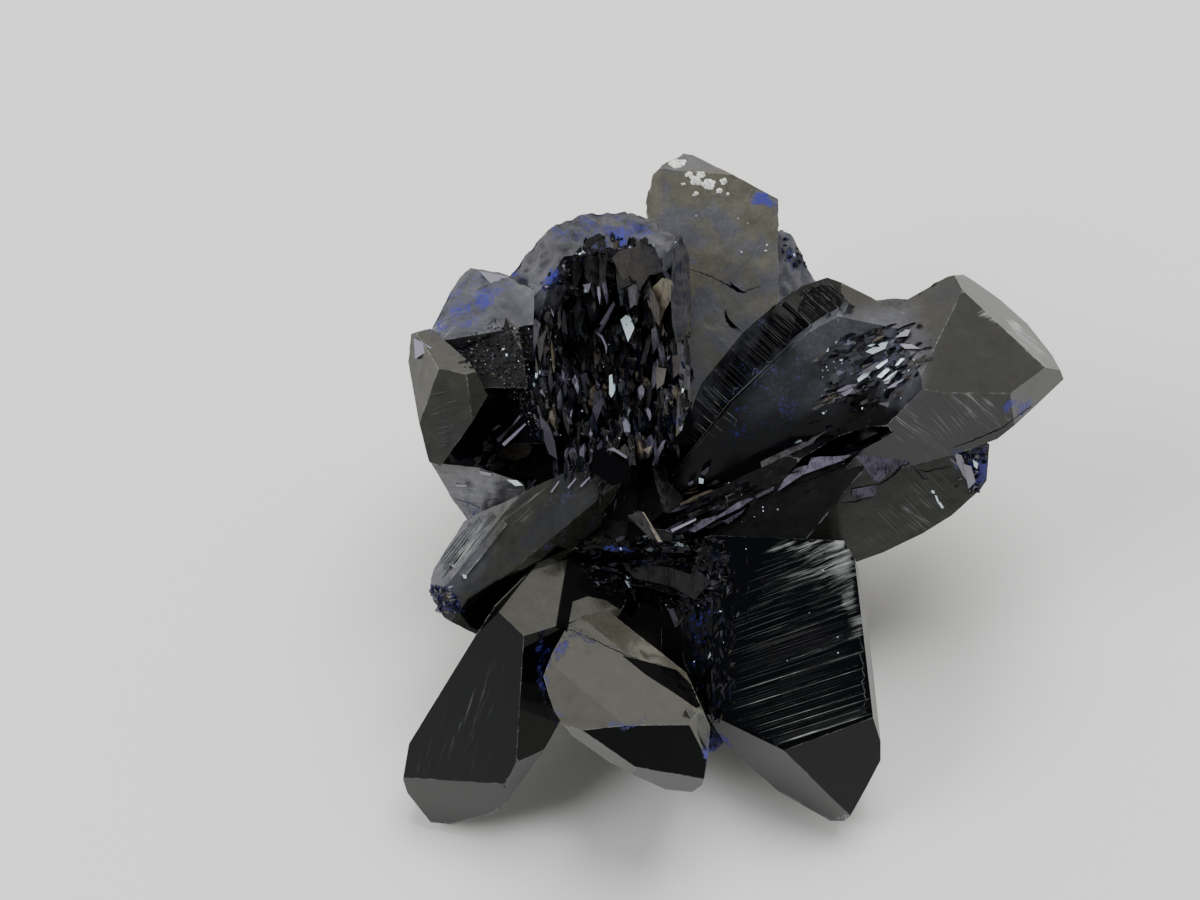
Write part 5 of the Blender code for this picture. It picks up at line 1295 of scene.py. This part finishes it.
class AZURITE_OT_cracks(bpy.types.Operator):
    """Run fine dark cracks over the plates and the big blade"""
    bl_idname = "azurite.cracks"
    bl_label = "Cracks"

    def execute(self, context):
        tree, rng, body = rosette_tree(), random.Random(5), bmesh.new()
        for width, path in CRACKS:
            self.crack(body, tree, rng, width, path)
        mesh = kept("cracks", body)
        finish = Finish("crack_shadow", IOR=1.3, Roughness=0.9)
        dust = finish.noise(finish.place(), 6.0, 3.0, 0.6)
        # near-black painted shadow inside the cracks, flecked with blue dust
        shade = finish.mix(dust.between(0.55, 0.8), (0.0008, 0.0009, 0.0015, 1.0), (0.01, 0.011, 0.04, 1.0))
        mesh.materials.append(finish.feed(Base_Color=shade, Normal=finish.bump(dust, 0.5, 0.03)))
        piece("fine_cracks", [mesh])
        return {"FINISHED"}

    def crack(self, body, tree, rng, width, path, spacing=0.18, wander=0.05, rise=0.03):
        """A ragged band that hugs the faces, widest in the middle; all in millimetres."""
        places = []
        for first, second in zip(path, path[1:]):
            steps = max(2, int(math.dist(first, second) / spacing))
            for share in (k / steps for k in range(steps)):
                places.append([a * (1 - share) + b * share + rng.uniform(-wander, wander)
                               for a, b in zip(first, second)])
        places.append(list(path[-1]))
        rows = []
        for k, place in enumerate(places):
            share = k / (len(places) - 1)
            before, after = places[max(k - 1, 0)], places[min(k + 1, len(places) - 1)]
            way = np.array(after) - before
            side = np.array((-way[1], way[0])) / max(np.hypot(*way), 1e-6)
            half = width * 0.5 * (0.15 + math.sin(math.pi * share) ** 0.5) * rng.uniform(0.6, 1.3)
            point, normal, _ = strike(tree, *place)
            aside = ACROSS * side[0] + UP * side[1]
            aside = (aside - normal * aside.dot(normal)).normalized() * half * MM
            lift = normal * rise * MM
            rows.append([body.verts.new(point + offset) for offset in (aside - lift, lift, -aside - lift)])
        for first, second in zip(rows, rows[1:]):
            for k in (0, 1):
                body.faces.new((first[k], second[k], second[k + 1], first[k + 1]))


# crusts: across, up, half width, half height, turn in degrees
CRUSTS = (
    (2.7, 24.1, 0.75, 0.40, 10), (4.0, 22.9, 0.55, 0.42, -30), (4.9, 22.6, 0.60, 0.50, 20),
    (4.4, 23.3, 0.42, 0.28, 0), (3.5, 23.3, 0.35, 0.22, 15), (6.0, 22.8, 0.30, 0.26, 40),
    (5.7, 22.1, 0.28, 0.22, 0), (4.0, 21.9, 0.28, 0.20, 30), (3.1, 22.6, 0.20, 0.14, 0),
    (6.3, 21.9, 0.14, 0.12, 0), (9.1, 18.2, 0.10, 0.10, 0), (9.0, 17.8, 0.12, 0.09, 0))


class AZURITE_OT_crust(bpy.types.Operator):
    """Lay pale mineral crusts on the upper plate"""
    bl_idname = "azurite.crust"
    bl_label = "Pale crust"

    def execute(self, context):
        tree, rng, body = rosette_tree(), random.Random(12), bmesh.new()
        for across, up, wide, tall, turn in CRUSTS:
            self.fleck(body, tree, rng, (across, up), (wide, tall), heading(turn))
        mesh = kept("crust", body)
        finish = Finish("pale_crust")
        grit = finish.noise(finish.place(), 5.0, 4.0, 0.7)
        crust = context.scene.azurite_detail.crust_colour
        shade = finish.mix(grit.between(0.38, 0.6), (0.42, 0.45, 0.46, 1.0), crust)
        mesh.materials.append(finish.feed(
            Base_Color=shade, Roughness=(0.55 + 0.35 * grit).clamped(), Normal=finish.bump(grit, 0.8, 0.06)))
        piece("pale_crust", [mesh])
        return {"FINISHED"}

    def fleck(self, body, tree, rng, place, size, way, high=0.09, rings=4, spokes=22):
        """A low ragged mound that hugs the crystal face; all in millimetres."""
        middle, normal, _ = strike(tree, *place)
        ragged = [1.0 + rng.uniform(-0.42, 0.35) for _ in range(spokes)]
        ragged = [(ragged[k - 1] + 2 * ragged[k] + ragged[(k + 1) % spokes]) / 4 for k in range(spokes)]
        top = body.verts.new(middle + normal * high * MM)
        rows = []
        for ring in range(1, rings + 1):
            share = ring / rings
            row = []
            for k in range(spokes):
                angle = 2 * math.pi * k / spokes
                x, y = (half * share * ragged[k] * part
                        for half, part in zip(size, (math.cos(angle), math.sin(angle))))
                spot = (place[0] + x * way[0] - y * way[1], place[1] + x * way[1] + y * way[0])
                point, local, _ = seen(tree, *spot) or (middle, normal, None)
                if local.dot(normal) < 0.8 or (point - middle).length > 1.6 * MM:
                    point, local = middle, normal
                rise = high * (1 - share ** 3) * rng.uniform(0.5, 1.3) if ring < rings else -0.05
                row.append(body.verts.new(point + local * rise * MM))
            rows.append(row)
        under = body.verts.new(middle - normal * 0.12 * MM)
        for k in range(spokes):
            after = (k + 1) % spokes
            body.faces.new((top, rows[0][k], rows[0][after]))
            for inner, outer in zip(rows, rows[1:]):
                body.faces.new((inner[k], outer[k], outer[after], inner[after]))
            body.faces.new((rows[-1][k], under, rows[-1][after]))


# ---------------------------------------------------------------- the stage

# light that comes from each angle to OUT: dark where the viewer stands, bright at the sides
ROOM = (
    (180, (0.95, 0.93, 0.88)), (110, (1.15, 1.12, 1.02)), (80, (1.2, 1.17, 1.06)), (60, (0.52, 0.52, 0.50)),
    (40, (0.22, 0.225, 0.23)), (22, (0.05, 0.052, 0.056)), (0, (0.035, 0.037, 0.04)))

# place in metres, width in metres and power in watts of each lamp
LAMPS = {"overhead": ((0.1, 0.25, 0.7), 0.5, 6.0), "side": ((-0.5, -0.1, 0.5), 0.4, 3.0)}
AIM = (-2.857, 3.571)  # where the camera looks on the fan


class AZURITE_OT_stage(bpy.types.Operator):
    """Lay the floor, light it softly and set up the camera"""
    bl_idname = "azurite.stage"
    bl_label = "Floor, light and camera"

    def execute(self, context):
        settings = context.scene.azurite_stage
        floor = bmesh.new()
        bmesh.ops.create_grid(floor, x_segments=1, y_segments=1, size=2.0)
        plane = placed("floor", kept("floor", floor))
        finish = Finish("floor_paper", Base_Color=settings.floor_colour, Roughness=0.9)
        plane.data.materials.append(finish.material)
        self.room(context, settings)
        self.camera(context, settings)
        return {"FINISHED"}

    def room(self, context, settings):
        """Light from all round, and two lamps that the crystals don't mirror."""
        world = bpy.data.worlds.new("room")
        context.scene.world = world
        world.use_nodes = True
        room = Graph(world.node_tree)
        facing = room.dot(room.node("ShaderNodeTexCoord", output="Generated"), OUT)
        stops = [((math.cos(math.radians(angle)) + 1) / 2, value) for angle, value in ROOM]
        light = room.node("ShaderNodeValToRGB", {"stops": stops}, {"Fac": facing * 0.5 + 0.5}, "Color")
        sky = world.node_tree.nodes["Background"]
        world.node_tree.links.new(light.socket, sky.inputs["Color"])
        sky.inputs["Strength"].default_value = settings.room_light
        for name, (place, size, power) in LAMPS.items():
            light = bpy.data.lights.new(name, "AREA")
            light.shape, light.size, light.energy = "DISK", size, power
            lamp = placed(name, light)
            lamp.location = place
            lamp.rotation_euler = (-Vector(place)).to_track_quat("-Z", "Y").to_euler()
            lamp.visible_glossy = False

    def camera(self, context, settings):
        """A long lens that looks down on the fan of crystals."""
        lens = bpy.data.cameras.new("camera")
        lens.lens, lens.sensor_width, lens.clip_start = settings.lens, 36.0, 0.01
        camera = placed("camera", lens)
        away = (EYE - on_fan(*AIM)).normalized()
        right = UP.cross(away).normalized()
        turn = Matrix((right, away.cross(right), away)).transposed().to_4x4()
        camera.matrix_world = Matrix.Translation(EYE) @ turn
        context.scene.camera = camera


class AZURITE_PT_panel(bpy.types.Panel):
    """Everything that makes the specimen, in order"""
    bl_idname = "AZURITE_PT_panel"
    bl_label = "Azurite Rosette"
    bl_space_type = "VIEW_3D"
    bl_region_type = "UI"
    bl_category = "Azurite"

    def draw(self, context):
        for operator in OPERATORS:
            self.layout.operator(operator.bl_idname)
        for name in SETTINGS:
            group = getattr(context.scene, name)
            for key in group.bl_rna.properties.keys():
                if key not in ("rna_type", "name"):
                    self.layout.prop(group, key)


OPERATORS = (
    AZURITE_OT_rosette, AZURITE_OT_hollow, AZURITE_OT_druse, AZURITE_OT_crumbs, AZURITE_OT_splinters,
    AZURITE_OT_lines, AZURITE_OT_cracks, AZURITE_OT_crust, AZURITE_OT_stage)
SETTINGS = {
    "azurite_rosette": RosetteSettings, "azurite_detail": DetailSettings, "azurite_stage": StageSettings}
CLASSES = (*SETTINGS.values(), *OPERATORS, AZURITE_PT_panel)


def register():
    for each in CLASSES:
        bpy.utils.register_class(each)
    for name, group in SETTINGS.items():
        setattr(bpy.types.Scene, name, bpy.props.PointerProperty(type=group))


def unregister():
    for name in SETTINGS:
        delattr(bpy.types.Scene, name)
    for each in reversed(CLASSES):
        bpy.utils.unregister_class(each)


def main():
    register()
    for operator in OPERATORS:
        getattr(bpy.ops.azurite, operator.bl_idname.partition(".")[2])()


if __name__ == "__main__":
    main()
